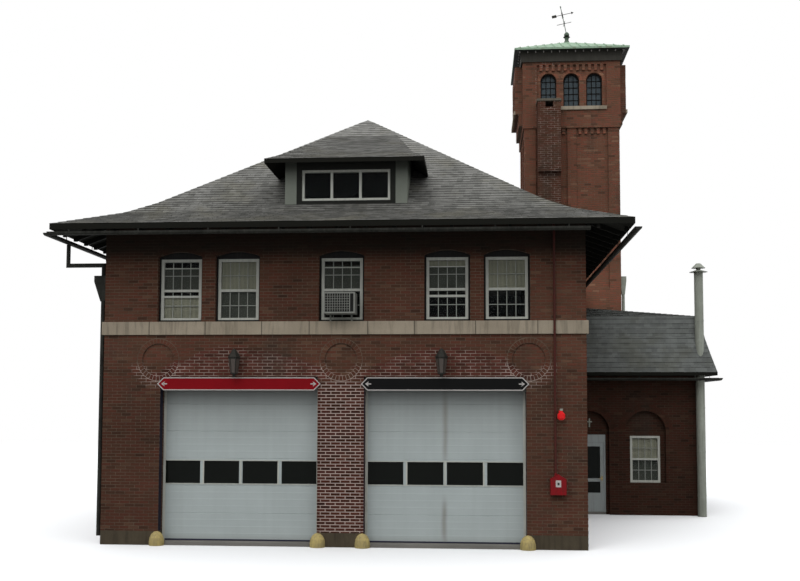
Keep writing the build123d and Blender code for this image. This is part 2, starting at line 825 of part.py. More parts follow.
def gutter(side, half_x, half_y, centre, span, eave_under):
    """Half-round gutter along part of one eave, with its end caps and straps up to the roof edge."""
    plane = wall_plane(side, half_x, half_y, centre)
    rim = eave_under - GUTTER_DROP + ROOF_THICK
    start = Plane(origin=plane.from_local_coords((span[0], 0, 0)), x_dir=plane.z_dir, z_dir=-plane.x_dir)
    length = span[1] - span[0]
    with BuildPart() as trough:
        with BuildSketch(start):
            with Locations((GUTTER_OUT, rim)):
                RegularPolygon(GUTTER_RADIUS, GUTTER_SIDES)
                with Locations((0, GUTTER_RADIUS)):
                    Rectangle(2 * GUTTER_RADIUS, 2 * GUTTER_RADIUS, mode=Mode.SUBTRACT)
        extrude(amount=-length)
        with BuildSketch(start.offset(-GUTTER_WALL)):
            with Locations((GUTTER_OUT, rim)):
                RegularPolygon(GUTTER_RADIUS - GUTTER_WALL, GUTTER_SIDES)
        extrude(amount=2 * GUTTER_WALL - length, mode=Mode.SUBTRACT)
        strap_base = rim - GUTTER_RADIUS / 3
        with BuildSketch(plane.offset(GUTTER_OUT - GUTTER_RADIUS)):
            for place in spread(max(1, round(length / STRAP_PITCH)), STRAP_PITCH, sum(span) / 2):
                with Locations((place, (strap_base + eave_under) / 2)):
                    Rectangle(STRAP_WIDTH, eave_under - strap_base)
        extrude(amount=STRAP_THICK)
    return trough.part


EAVE_UNDER = EAVE_TOP - ROOF_THICK
roof_block = (ROOF_X, ROOF_Y, (0, 0))
right_front = (-ROOF_Y, TOWER_Y - TOWER_HALF)
right_back = (TOWER_Y + TOWER_HALF, ROOF_Y)
main_gutters = [
    gutter("front", *roof_block, (-ROOF_X, HALF), EAVE_UNDER),
    gutter("back", *roof_block, (-ROOF_X, ROOF_X), EAVE_UNDER),
    gutter("left", *roof_block, (-ROOF_Y, ROOF_Y), EAVE_UNDER),
    gutter("right", *roof_block, right_front, EAVE_UNDER),
    gutter("right", *roof_block, right_back, EAVE_UNDER),
]

# Wing
WING_ROOF_X = WING_WIDTH + WING_OVERHANG
WING_ROOF_Y = WING_DEPTH / 2 + WING_OVERHANG
wing_centre = (HALF, WING_Y)
wing_outer = hip_solid(WING_ROOF_X, WING_ROOF_Y, WING_EAVE - WING_DECK, WING_EAVE, WING_PROFILE, wing_centre)
wing_inner = hip_solid(
    WING_ROOF_X - WING_SKIN,
    WING_ROOF_Y - WING_SKIN,
    WING_EAVE - 2 * WING_DECK,
    WING_EAVE - WING_DECK,
    WING_PROFILE,
    wing_centre,
)
WING_WALL_TOP = WING_EAVE - WING_DECK + profile_rise(WING_PROFILE, WING_OVERHANG - WING_SKIN)
main_side = box_between((-HALF, -BACK, 0), (HALF, BACK, EAVE_TOP))
wing_box = box_between((HALF, WING_FRONT, 0), (WING_RIGHT, WING_BACK, EAVE_TOP))
soffit = box_between(
    (HALF, WING_Y - WING_ROOF_Y, WING_EAVE - 2 * WING_DECK),
    (HALF + WING_ROOF_X, WING_Y + WING_ROOF_Y, WING_EAVE - WING_DECK),
)
duct_y = FRONT + DUCT_SETBACK
with BuildPart() as duct_hole:
    with BuildSketch(Plane.XY):
        with Locations((DUCT_X, duct_y)):
            Circle(DUCT_RADIUS + DUCT_GAP)
    extrude(amount=DUCT_TOP)
left_of_wing = box_between(
    (HALF - WING_ROOF_X, WING_Y - WING_ROOF_Y, 0), (HALF, WING_Y + WING_ROOF_Y, EAVE_TOP)
)
wing_shell = cut(wing_outer, wing_inner, left_of_wing)
save(
    cut(joined(wing_shell, cut(soffit, wing_box)), tower_space, duct_hole.part),
    "wing_roof",
)

wing_block = (WING_WIDTH, WING_DEPTH / 2, wing_centre)
wing_front_face = wall_plane("front", *wing_block)
entrance_at = ENTRANCE_X - HALF
window_at = WING_WINDOW_X - HALF
arch_rise = ARCH_WIDTH / 2
wing_front_wall = cut(
    raised(wing_front_face, [(WING_WIDTH / 2, 0, oblong(WING_WIDTH, WING_WALL_TOP))], 0, WALL),
    raised(
        wing_front_face,
        [
            (entrance_at, 0, arch(ARCH_WIDTH, ARCH_SPRING, arch_rise)),
            (window_at, WING_SILL, arch(ARCH_WIDTH, ARCH_SPRING - WING_SILL, arch_rise)),
        ],
        0,
        ARCH_RECESS,
    ),
    raised(
        wing_front_face,
        [
            (entrance_at, 0, oblong(ENTRANCE_WIDTH, ENTRANCE_HEAD)),
            (window_at, WING_SILL, oblong(WING_SASH_WIDTH, WING_SASH_HEIGHT)),
        ],
        0,
        WALL,
    ),
)
door_left = ENTRANCE_X - ENTRANCE_WIDTH / 2
door_right = ENTRANCE_X + ENTRANCE_WIDTH / 2
wall_back = WING_FRONT + WALL
save(
    common(wing_front_wall, box_between((HALF, WING_FRONT, 0), (door_left, wall_back, WING_WALL_TOP))),
    "wing_wall_left_of_door",
)
save(
    common(wing_front_wall, box_between((door_right, WING_FRONT, 0), (WING_RIGHT, wall_back, WING_WALL_TOP))),
    "wing_wall_right_of_door",
)
save(
    common(
        wing_front_wall,
        box_between((door_left, WING_FRONT, ENTRANCE_HEAD), (door_right, wall_back, WING_WALL_TOP)),
    ),
    "wing_wall_over_door",
)

wing_side_places = spread(2, WING_SIDE_WINDOW_PITCH)
wing_windows = [("front", window_at, WING_SILL)]
wing_windows += [("right", x, WING_SILL) for x in wing_side_places]
wing_windows += [("back", -WING_WIDTH / 2 - WING_BACK_WINDOW_SHIFT, WING_SILL)]


def wing_wall(side, span):
    """A wing wall with arched recesses and windows like the front's."""
    face = wall_plane(side, *wing_block)
    places = [x for at, x, sill in wing_windows if at == side]
    recess = arch(ARCH_WIDTH, ARCH_SPRING - WING_SILL, arch_rise)
    hole = oblong(WING_SASH_WIDTH, WING_SASH_HEIGHT)
    return cut(
        raised(face, [((span[0] + span[1]) / 2, 0, oblong(span[1] - span[0], WING_WALL_TOP))], 0, WALL),
        raised(face, [(x, WING_SILL, recess) for x in places], 0, ARCH_RECESS),
        raised(face, [(x, WING_SILL, hole) for x in places], 0, WALL),
    )


save(wing_wall("right", (-WING_DEPTH / 2 + WALL, WING_DEPTH / 2 - WALL)), "wing_side_wall")
save(cut(wing_wall("back", (-WING_WIDTH, 0)), tower_space), "wing_back_wall")

wing_sash = sash_outline(WING_SASH_WIDTH, WING_SASH_HEIGHT)
wing_glass = glass_outline(WING_SASH_WIDTH, WING_SASH_HEIGHT)
wing_sashes = window_set(wing_windows, *wing_block, wing_sash, ARCH_RECESS, SASH_DEPTH)
save(joined(main_sashes, wing_sashes), "window_sashes")
wing_glass_start = ARCH_RECESS + (SASH_DEPTH - GLASS_THICK) / 2
wing_panes = window_set(wing_windows, *wing_block, wing_glass, wing_glass_start, GLASS_THICK)

wing_roof_block = (WING_ROOF_X, WING_ROOF_Y, wing_centre)
wing_gutters = [
    gutter("front", *wing_roof_block, (BELT_PROUD, WING_ROOF_X), WING_EAVE - 2 * WING_DECK),
    gutter("right", *wing_roof_block, (-WING_ROOF_Y, WING_ROOF_Y), WING_EAVE - 2 * WING_DECK),
]
save(Compound(children=main_gutters + wing_gutters), "gutters")

# Entrance: frame with the hinge pins, and the glazed leaf that swings out on them
frame_face = WING_FRONT + ARCH_RECESS
leaf_left = door_left + JAMB + LEAF_GAP
leaf_right = door_right - JAMB - LOCK_GAP
leaf_base = FLOOR_TOP + LEAF_GAP
axis_x = leaf_left - LEAF_GAP / 2
axis_y = frame_face - KNUCKLE_RADIUS - 1
frame_depth = 120
stop = 18


def tube(radius, hole, low, high, at):
    """Upright cylinder, hollow where hole is not zero."""
    with BuildPart() as piece:
        with BuildSketch(Plane.XY.offset(low)):
            with Locations(at):
                Circle(radius)
                if hole:
                    Circle(hole, mode=Mode.SUBTRACT)
        extrude(amount=high - low)
    return piece.part


def fixed_hinge(height):
    """Pin with its two outer knuckles and the plates that hold them on the jamb."""
    at = (axis_x, axis_y)
    low = height - KNUCKLE_HALF
    high = height + KNUCKLE_HALF
    pieces = [tube(PIN_RADIUS, 0, low - 20, high + 20, at)]
    for base in (low - 26, high + 1):
        pieces.append(tube(KNUCKLE_RADIUS, 0, base, base + 25, at))
        pieces.append(
            box_between((axis_x - 38, frame_face - HINGE_PLATE, base), (axis_x, frame_face, base + 25))
        )
    return joined(*pieces)


frame_back = frame_face + frame_depth
stop_face = frame_face + LEAF_THICK + LEAF_GAP
frame_spans = (
    (door_left, door_left + JAMB, frame_face, FLOOR_TOP),
    (door_right - JAMB, door_right, frame_face, FLOOR_TOP),
    (door_left + JAMB, door_right - JAMB, frame_face, LEAF_HEAD + LEAF_GAP),
    (door_left + JAMB, door_left + JAMB + stop, stop_face, FLOOR_TOP),
    (door_right - JAMB - stop, door_right - JAMB, stop_face, FLOOR_TOP),
)
frame_parts = [
    box_between((left, face, base), (right, frame_back, ENTRANCE_HEAD))
    for left, right, face, base in frame_spans
]
frame_parts += [fixed_hinge(height) for height in HINGE_HEIGHTS]
save(joined(*frame_parts), "entrance_frame")

leaf_width = leaf_right - leaf_left
leaf_height = LEAF_HEAD - leaf_base
lower_glass = (leaf_base + 520, leaf_base + 830)
upper_glass = (lower_glass[1] + 90, LEAF_HEAD - LEAF_RAIL)
leaf_face = Plane.XZ.offset(-frame_face)
leaf_middle = (leaf_left + leaf_right) / 2
pane_width = leaf_width - 2 * LEAF_STILE
panes = [
    (leaf_middle, low, oblong(pane_width, high - low)) for low, high in (lower_glass, upper_glass)
]
leaf_body = cut(
    raised(leaf_face, [(leaf_middle, leaf_base, oblong(leaf_width, leaf_height))], 0, LEAF_THICK),
    raised(leaf_face, panes, 0, LEAF_THICK),
)


def leaf_hinge(height):
    """Knuckle that turns on the pin, with its plate on the leaf."""
    low = height - KNUCKLE_HALF
    high = height + KNUCKLE_HALF
    plate = box_between((axis_x, frame_face - HINGE_PLATE, low), (axis_x + 45, frame_face, high))
    barrel = tube(KNUCKLE_RADIUS, 0, low, high, (axis_x, axis_y))
    return cut(joined(plate, barrel), tube(PIN_RADIUS + PIN_CLEARANCE, 0, low, high, (axis_x, axis_y)))


save(joined(leaf_body, *[leaf_hinge(height) for height in HINGE_HEIGHTS]), "entrance_door")
save(raised(leaf_face, panes, (LEAF_THICK - GLASS_THICK) / 2, GLASS_THICK), "entrance_door_glass")
handle_x = leaf_right - LEAF_STILE / 2
handle_z = 1000
save(
    boxes(
        ((handle_x - 18, frame_face - 8, handle_z - 60), (handle_x + 18, frame_face, handle_z + 60)),
        ((handle_x - 9, frame_face - 45, handle_z - 9), (handle_x + 9, frame_face - 8, handle_z + 9)),
        ((handle_x - 70, frame_face - 57, handle_z - 11), (handle_x + 11, frame_face - 45, handle_z + 11)),
    ),
    "entrance_door_handle",
)

# Tower
tower_centre = (TOWER_X, TOWER_Y)
tower_tube = box_between(
    (TOWER_X - tower_inner, TOWER_Y - tower_inner, 0), (TOWER_X + tower_inner, TOWER_Y + tower_inner, 20000)
)
shaft_panels = [
    raised(
        wall_plane(side, TOWER_HALF, TOWER_HALF, tower_centre),
        [
            (x, PANEL_BASE, oblong(PANEL_WIDTH, BELFRY_BASE - PANEL_BASE))
            for x in (-PANEL_CENTRE, PANEL_CENTRE)
        ],
        0,
        PANEL_DEPTH,
    )
    for side in SIDES
]
save(cut(tower_space, tower_tube, *shaft_panels), "tower_shaft")

belfry_body = box_between(
    (TOWER_X - BELFRY_HALF, TOWER_Y - BELFRY_HALF, BELFRY_BASE),
    (TOWER_X + BELFRY_HALF, TOWER_Y + BELFRY_HALF, BELFRY_TOP),
)
belfry_deep = TOWER_WALL + BELFRY_PROUD
window_arch = arch(TOWER_WINDOW_WIDTH, TOWER_WINDOW_SPRING, TOWER_WINDOW_WIDTH / 2)
frame_height = TOWER_WINDOW_SPRING + TOWER_WINDOW_WIDTH / 2 + TOWER_REBATE
frame_outline = oblong(TOWER_WINDOW_WIDTH + 2 * TOWER_REBATE, frame_height)
light_outline = oblong(TOWER_WINDOW_WIDTH - 2 * TOWER_FRAME, frame_height - 2 * TOWER_FRAME - TOWER_REBATE)
sill_base = BELFRY_SILL - TOWER_SILL_HEIGHT
panel_top = BELFRY_TOP - BELFRY_PANEL_HEAD
belfry_recess = oblong(BELFRY_PANEL, panel_top - sill_base)
side_bay = oblong(BELFRY_PANEL, BELFRY_TOP - sill_base)
sill_outline = oblong(BELFRY_PANEL, TOWER_SILL_HEIGHT)


def tower_face(side):
    """Belfry wall on one side."""
    return wall_plane(side, BELFRY_HALF, BELFRY_HALF, tower_centre)


def window_face(side):
    """Face that a side's windows sit in: a sunk panel front and back, a shallow bay at the sides."""
    return tower_face(side).offset(SIDE_BAY_PROUD if side in ("left", "right") else -PANEL_DEPTH)


def at_windows(side, outline, start, depth, lift=0):
    """The same piece in each of a side's three windows."""
    places = [(x, BELFRY_SILL + lift, outline) for x in spread(3, TOWER_WINDOW_PITCH)]
    return raised(window_face(side), places, start, depth)


belfry_cuts = []
for side in SIDES:
    if side in ("front", "back"):
        belfry_cuts.append(raised(tower_face(side), [(0, sill_base, belfry_recess)], 0, PANEL_DEPTH))
    belfry_cuts.append(at_windows(side, window_arch, 0, TOWER_REVEAL))
    belfry_cuts.append(at_windows(side, frame_outline, TOWER_REVEAL, belfry_deep + SIDE_BAY_PROUD))
save(cut(belfry_body, tower_tube, *belfry_cuts), "tower_belfry")

side_bays = []
for side in ("left", "right"):
    side_bays.append(raised(tower_face(side), [(0, sill_base, side_bay)], -SIDE_BAY_PROUD, SIDE_BAY_PROUD))
    foot = [(0, sill_base - SIDE_BAY_FOOT, oblong(BELFRY_PANEL, SIDE_BAY_FOOT))]
    side_bays.append(raised(tower_face(side), foot, -SIDE_BAY_PROUD / 2, SIDE_BAY_PROUD / 2))
save(cut(joined(*side_bays), *belfry_cuts), "tower_side_bays")

sill_deep = TOWER_SILL_PROUD + PANEL_DEPTH
tower_sills = []
for side in SIDES:
    deep = sill_deep if side in ("front", "back") else TOWER_SILL_PROUD
    tower_sills.append(raised(window_face(side), [(0, sill_base, sill_outline)], -deep, deep))
tower_sills = joined(*tower_sills)
save(tower_sills, "tower_sills")

corbel = oblong(CORBEL_WIDTH, CORBEL_HEIGHT)
shaft_corbel_places = [
    (middle + x, BELFRY_BASE - CORBEL_HEIGHT, corbel)
    for middle in (-PANEL_CENTRE, PANEL_CENTRE)
    for x in spread(5, CORBEL_PITCH)
]
belfry_corbel_places = [(x, panel_top - CORBEL_HEIGHT, corbel) for x in spread(11, CORBEL_PITCH)]
corbels = []
for side in SIDES:
    shaft_plane = wall_plane(side, TOWER_HALF, TOWER_HALF, tower_centre)
    corbels.append(raised(shaft_plane, shaft_corbel_places, 0, PANEL_DEPTH))
for side in ("front", "back"):
    corbels.append(raised(tower_face(side), belfry_corbel_places, 0, PANEL_DEPTH))
save(joined(*corbels), "tower_corbels")

tower_frame = TOWER_REVEAL, TOWER_FRAME_DEPTH
frames = [at_windows(side, frame_outline, *tower_frame) for side in SIDES]
lights = [at_windows(side, light_outline, *tower_frame, TOWER_FRAME) for side in SIDES]
save(cut(joined(*frames), *lights), "tower_windows")
glass_behind = TOWER_REVEAL + TOWER_FRAME_DEPTH / 2
tower_glass = [at_windows(side, light_outline, glass_behind, GLASS_THICK, TOWER_FRAME) for side in SIDES]
save(joined(main_glass, wing_panes, dormer_glass, *tower_glass), "window_glass")

frieze_half = BELFRY_HALF + FRIEZE_PROUD
frieze_top = BELFRY_TOP + FRIEZE_HEIGHT
save(
    cut(
        box_between(
            (TOWER_X - frieze_half, TOWER_Y - frieze_half, BELFRY_TOP),
            (TOWER_X + frieze_half, TOWER_Y + frieze_half, frieze_top),
        ),
        tower_tube,
    ),
    "tower_frieze",
)

eave_half = BELFRY_HALF + TOWER_EAVE_OUT
apex = frieze_top + TOWER_APEX_RISE
roof_edge = box_between(
    (TOWER_X - eave_half, TOWER_Y - eave_half, frieze_top),
    (TOWER_X + eave_half, TOWER_Y + eave_half, frieze_top + TOWER_EAVE_EDGE),
)
roof_slopes = frustum(eave_half, frieze_top + TOWER_EAVE_EDGE, FINIAL_TOP_HALF, apex, tower_centre)
roof_inside = frustum(tower_inner, frieze_top, FINIAL_TOP_HALF, apex - TOWER_APEX_RISE * 0.4, tower_centre)
save(cut(joined(roof_edge, roof_slopes), roof_inside), "tower_roof")

# Finial, leaning spindle and weather vane
ball_height = apex + 290
lean = math.radians(SPINDLE_LEAN)
spindle_plane = Plane(
    origin=(TOWER_X, TOWER_Y, ball_height),
    x_dir=(math.cos(lean), 0, math.sin(lean)),
    z_dir=(-math.sin(lean), 0, math.cos(lean)),
)
seat_height = VANE_HEIGHT - VANE_HUB_LENGTH / 2
finial_steps = (
    (FINIAL_TOP_HALF, 0),
    (60, 110),
    (75, 190),
    (115, 215),
    (BALL_RADIUS / 2, 222),
    (BALL_RADIUS, 260),
    (BALL_RADIUS, 320),
    (BALL_RADIUS / 2, 375),
)
with BuildPart() as finial:
    for (radius, low), (top_radius, high) in zip(finial_steps, finial_steps[1:]):
        add(polygon_frustum(radius, apex + low, top_radius, apex + high, tower_centre, FINIAL_SIDES))
    with BuildSketch(spindle_plane):
        Circle(SPINDLE_RADIUS)
    extrude(amount=SPINDLE_LENGTH)
    with BuildSketch(spindle_plane.offset(seat_height - 30)):
        Circle(SPINDLE_RADIUS + 12)
    extrude(amount=30)
    with BuildSketch(spindle_plane.offset(SPINDLE_LENGTH - 60)):
        Circle(SPINDLE_RADIUS + 6)
    extrude(amount=60)
save(finial.part, "tower_finial")

with BuildPart() as compass:
    with BuildSketch(spindle_plane.offset(seat_height - 230)):
        Circle(SPINDLE_RADIUS + 20)
        Rectangle(2 * 240, 12)
        Rectangle(12, 2 * 240)
        Circle(SPINDLE_RADIUS, mode=Mode.SUBTRACT)
    extrude(amount=14)
save(compass.part, "compass_arms")

with BuildPart() as vane:
    with BuildSketch(spindle_plane.offset(seat_height + 1)):
        Circle(SPINDLE_RADIUS + 9)
    extrude(amount=VANE_HUB_LENGTH)
    vane_middle = seat_height + 1 + VANE_HUB_LENGTH / 2
    vane_plane = Plane(
        origin=spindle_plane.from_local_coords((0, 0, vane_middle)),
        x_dir=spindle_plane.x_dir,
        z_dir=-spindle_plane.y_dir,
    )
    with BuildSketch(vane_plane):
        Rectangle(2 * VANE_HALF, 16)
        with Locations((-VANE_HALF + 60, 0)):
            Rectangle(150, 90)
        with Locations((VANE_HALF, 0)):
            Triangle(a=90, b=90, c=90, rotation=-90)
    extrude(amount=4, both=True)
    with BuildSketch(spindle_plane.offset(seat_height)):
        Circle(SPINDLE_RADIUS + VANE_CLEARANCE)
    extrude(amount=VANE_HUB_LENGTH + 20, mode=Mode.SUBTRACT)
save(vane.part, "weather_vane")

# Chimney against the tower
chimney_front = FRONT + TOWER_SETBACK - CHIMNEY_DEEP
chimney_back = FRONT + TOWER_SETBACK
chimney_half = CHIMNEY_WIDTH / 2
chimney_body = boxes(
    (
        (CHIMNEY_X - chimney_half, chimney_front + CHIMNEY_STEP, EAVE_TOP),
        (CHIMNEY_X + chimney_half, chimney_back, CHIMNEY_TOP),
    ),
    (
        (CHIMNEY_X - chimney_half, chimney_front, CHIMNEY_STEP_HEIGHT),
        (CHIMNEY_X + chimney_half, chimney_back, CHIMNEY_TOP),
    ),
)
flue_mouth = box_between(
    (CHIMNEY_X - 120, chimney_front, CHIMNEY_TOP - 190), (CHIMNEY_X + 120, chimney_back - 150, CHIMNEY_TOP)
)
save(cut(chimney_body, roof_below, belfry_body, tower_sills, flue_mouth), "chimney")
save(
    box_between(
        (CHIMNEY_X - chimney_half - CHIMNEY_CAP_OUT, chimney_front - CHIMNEY_CAP_OUT, CHIMNEY_TOP),
        (CHIMNEY_X + chimney_half + CHIMNEY_CAP_OUT, chimney_back - BELFRY_PROUD, CHIMNEY_TOP + CHIMNEY_CAP),
    ),
    "chimney_cap",
)

# Sign boards with pointed ends, seated on the piers
with BuildPart() as signs:
    with BuildSketch(front_face):
        for x in (-BAY_CENTRE, BAY_CENTRE):
            with Locations((x, SIGN_BASE + SIGN_HEIGHT / 2)):
                Rectangle(SIGN_LENGTH - SIGN_HEIGHT, SIGN_HEIGHT)
                for end in (-1, 1):
                    with Locations((end * (SIGN_LENGTH - SIGN_HEIGHT) / 2, 0)):
                        Rectangle(SIGN_HEIGHT * math.sqrt(0.5), SIGN_HEIGHT * math.sqrt(0.5), rotation=45)
    extrude(amount=SIGN_THICK)
save(signs.part, "sign_boards")

# Wall lanterns: plate, arm, six-sided body that widens upwards, cap and foot
lanterns = []
for x in (-BAY_CENTRE - LANTERN_SHIFT, BAY_CENTRE - LANTERN_SHIFT):
    at = (x, FRONT - LANTERN_OUT)
    foot, eye, top = (LANTERN_HEIGHT + rise for rise in (LANTERN_FOOT, LANTERN_EYE, LANTERN_TOP))
    plate = box_between((x - 60, FRONT - 15, eye - 160), (x + 60, FRONT, eye + 60))
    arm = box_between((x - 15, FRONT - LANTERN_OUT, eye - 20), (x + 15, FRONT - 15, eye + 10))
    lanterns.append(
        joined(
            plate,
            arm,
            polygon_frustum(30, LANTERN_HEIGHT, 36, foot, at, 6),
            polygon_frustum(80, foot, 130, eye, at, 6),
            polygon_frustum(145, eye, 30, top, at, 6),
        )
    )
save(Compound(children=lanterns), "wall_lanterns")

# Domed guards at the foot of each bay jamb
dome = quarter(GUARD_RADIUS, GUARD_HEIGHT - GUARD_SHOULDER, GUARD_STEPS, (0, GUARD_SHOULDER))
with BuildPart() as guard_dome:
    with BuildSketch(Plane.XZ):
        with BuildLine():
            Polyline((0, 0), (GUARD_RADIUS, 0), *dome, close=True)
        make_face()
    revolve(axis=Axis.Z, revolution_arc=-180)
guards = []
for bay in (-BAY_CENTRE, BAY_CENTRE):
    for end in (-1, 1):
        place = Location((bay + end * (BAY_WIDTH / 2 + 20), FRONT - PIER_BASE_PROUD, 0))
        guards.append(guard_dome.part.moved(place))
save(Compound(children=guards), "wheel_guards")

# Alarm box, its conduit up to the eave and the lamp above it
with BuildSketch() as alarm_outline:
    with BuildLine():
        Polyline(
            (-ALARM_HALF, 0),
            (ALARM_HALF, 0),
            (ALARM_HALF, ALARM_SIDE),
            (0, ALARM_PEAK),
            (-ALARM_HALF, ALARM_SIDE),
            close=True,
        )
    make_face()
alarm = raised(front_face, [(ALARM_X, ALARM_BASE, alarm_outline.sketch)], -ALARM_DEEP, ALARM_DEEP)
conduit_at = (ALARM_X - CONDUIT_SHIFT, FRONT - BELT_PROUD - CONDUIT_RADIUS - CONDUIT_GAP)
conduit_top = WALL_TOP - RAFTER_DEPTH - RAFTER_START
conduit = cut(tube(CONDUIT_RADIUS, 0, ALARM_BASE + ALARM_SIDE, conduit_top, conduit_at), alarm)
save(Compound(children=[alarm, conduit]), "alarm_box")

lamp_at = (LAMP_X, FRONT - LAMP_OUT)
lamp_low, lamp_high = LAMP_HEIGHT + LAMP_RADIUS / 2, LAMP_HEIGHT + 3 * LAMP_RADIUS / 2
with BuildPart() as lamp:
    add(box_between((LAMP_X - 40, FRONT - 12, lamp_low), (LAMP_X + 40, FRONT, lamp_high + 80)))
    add(box_between((LAMP_X - 10, FRONT - LAMP_OUT, lamp_high + 50), (LAMP_X + 10, FRONT, lamp_high + 70)))
    add(polygon_frustum(LAMP_RADIUS / 2, LAMP_HEIGHT, LAMP_RADIUS, lamp_low, lamp_at, LAMP_SIDES))
    add(polygon_frustum(LAMP_RADIUS, lamp_low, LAMP_RADIUS, lamp_high, lamp_at, LAMP_SIDES))
    add(polygon_frustum(LAMP_RADIUS, lamp_high, LAMP_RADIUS / 4, lamp_high + 70, lamp_at, LAMP_SIDES))
save(lamp.part, "red_lamp")

# Window air conditioner on two legs that stand on the belt course
cooler_base = BELT_TOP + COOLER_LIFT
cooler = [
    (
        (-COOLER_HALF, FRONT - COOLER_OUT, cooler_base),
        (COOLER_HALF, FRONT + WINDOW_RECESS, cooler_base + COOLER_HEIGHT),
    )
]
for x in (-COOLER_LEG_PITCH / 2, COOLER_LEG_PITCH / 2):
    low = (x - COOLER_LEG / 2, FRONT - BELT_PROUD + 5, BELT_TOP)
    cooler.append((low, (x + COOLER_LEG / 2, FRONT - 5, cooler_base)))
save(boxes(*cooler), "air_conditioner")

# Exhaust duct through the wing's eave, with a double rain cap
duct_at = (DUCT_X, duct_y)
with BuildPart() as duct:
    add(tube(DUCT_RADIUS, 0, 0, DUCT_TOP, duct_at))
    add(tube(60, 0, DUCT_TOP, DUCT_TOP + 150, duct_at))
    for low, rise, out in ((DUCT_TOP, 60, 250), (DUCT_TOP + 110, 130, 190)):
        add(polygon_frustum(out, low, 60, low + rise, duct_at, RAIN_CAP_SIDES))
save(duct.part, "exhaust_duct")


def leader(centre, half, top):
    """Leader head: a square rim above a funnel as narrow as its pipe."""
    x, y = centre
    rim = box_between((x - half, y - half, top - LEADER_RIM), (x + half, y + half, top))
    return joined(rim, frustum(SPOUT_RADIUS, top - LEADER_LENGTH, half, top - LEADER_RIM, centre))


def pipe(path):
    """Eight-sided pipe along a path with mitred bends."""
    with BuildPart() as run:
        with BuildLine() as route:
            Polyline(*path)
        with BuildSketch(Plane(origin=path[0], z_dir=route.line % 0)):
            RegularPolygon(SPOUT_RADIUS, SPOUT_SIDES)
        sweep(transition=Transition.RIGHT)
    return run.part


# Downspouts: from the left gutter to the front corner, and down the tower's right face
spout_y = FRONT + 300
spout_x = -HALF - SPOUT_OUT
gutter_x = -ROOF_X - GUTTER_OUT
spout_path = [
    (gutter_x, spout_y, EAVE_TOP - GUTTER_DROP - GUTTER_RADIUS),
    (gutter_x, spout_y, SPOUT_BEND),
    (spout_x, spout_y, SPOUT_BEND),
    (spout_x, spout_y, SPOUT_FOOT),
]
save(joined(pipe(spout_path), leader((spout_x, spout_y), LEADER_HALF, LEADER_TOP)), "left_downspout")

tower_spout = (TOWER_X + TOWER_HALF + TOWER_LEADER_HALF, FRONT + TOWER_SETBACK + 200)
tower_leader = leader(tower_spout, TOWER_LEADER_HALF, TOWER_LEADER_TOP)
roof_by_tower = WING_EAVE + profile_rise(WING_PROFILE, HALF + WING_ROOF_X - tower_spout[0]) + 40
tower_pipe = pipe([(*tower_spout, TOWER_LEADER_TOP - LEADER_RIM), (*tower_spout, roof_by_tower)])
save(joined(tower_leader, tower_pipe), "tower_downspout")
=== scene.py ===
# %% [markdown]
# A brick fire station, dressed for a photograph. The walls, roofs, doors and windows come from
# the CAD model. This script lays the bricks and shingles on them, gives every surface a finish
# worked out from its place on the building, and sets the light and the camera.
# All lengths are metres: X to the right, Y into the building, Z up, as in the CAD model.

import math

import bpy
import numpy as np
from mathutils import Matrix


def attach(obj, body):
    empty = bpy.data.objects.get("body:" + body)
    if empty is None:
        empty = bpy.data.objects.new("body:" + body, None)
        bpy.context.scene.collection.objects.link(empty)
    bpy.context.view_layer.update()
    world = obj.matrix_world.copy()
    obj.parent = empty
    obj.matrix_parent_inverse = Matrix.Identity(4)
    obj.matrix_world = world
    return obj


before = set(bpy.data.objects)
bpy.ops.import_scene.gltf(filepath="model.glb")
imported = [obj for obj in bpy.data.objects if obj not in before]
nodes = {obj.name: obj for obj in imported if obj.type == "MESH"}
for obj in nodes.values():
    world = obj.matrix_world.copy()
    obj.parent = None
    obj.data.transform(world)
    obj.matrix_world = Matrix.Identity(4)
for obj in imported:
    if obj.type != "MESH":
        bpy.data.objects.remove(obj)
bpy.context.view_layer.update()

# %% [markdown]
# The camera stands 21.7 m in front of the building, with its lens 3 m up. The directions in
# which the building's edges converge in the photograph give its turn and tilt: its depth and
# its width point this many pixels to the right of the camera, down and ahead.

# %% Camera
IMAGE_WIDTH, IMAGE_HEIGHT = 800, 581
FOCAL_PIXELS = 1018
HORIZON_ROW = 340
SENSOR_WIDTH = 36
CAMERA_PLACE = (2.89, -29.2, 3.0)
DEPTH_SEEN = (76, 66, FOCAL_PIXELS)
WIDTH_SEEN = (12900, -36, -FOCAL_PIXELS)


def unit(vector):
    """A vector divided by its own length."""
    return np.asarray(vector, float) / np.linalg.norm(vector)


def add(name, data):
    """A new object of some data in the scene."""
    made = bpy.data.objects.new(name, data)
    bpy.context.scene.collection.objects.link(made)
    return made


depth_axis = unit(DEPTH_SEEN)
across_axis = np.array(WIDTH_SEEN, float)
across_axis = unit(across_axis - depth_axis * (across_axis @ depth_axis))
right, down, ahead = np.stack((across_axis, depth_axis, np.cross(across_axis, depth_axis)), 1)
turn = np.eye(4)
turn[:3] = np.stack((right, -down, -ahead, CAMERA_PLACE), 1)
camera_data = bpy.data.cameras.new("street_camera")
camera_data.sensor_width = SENSOR_WIDTH
camera_data.lens = FOCAL_PIXELS * SENSOR_WIDTH / IMAGE_WIDTH
camera_data.shift_y = (HORIZON_ROW - IMAGE_HEIGHT / 2) / IMAGE_WIDTH
camera = add("street_camera", camera_data)
camera.matrix_world = Matrix(turn.tolist())
bpy.context.scene.camera = camera
bpy.context.scene.view_settings.view_transform = "Standard"
print("lens", round(camera_data.lens, 1), "mm, shift", round(camera_data.shift_y, 3))

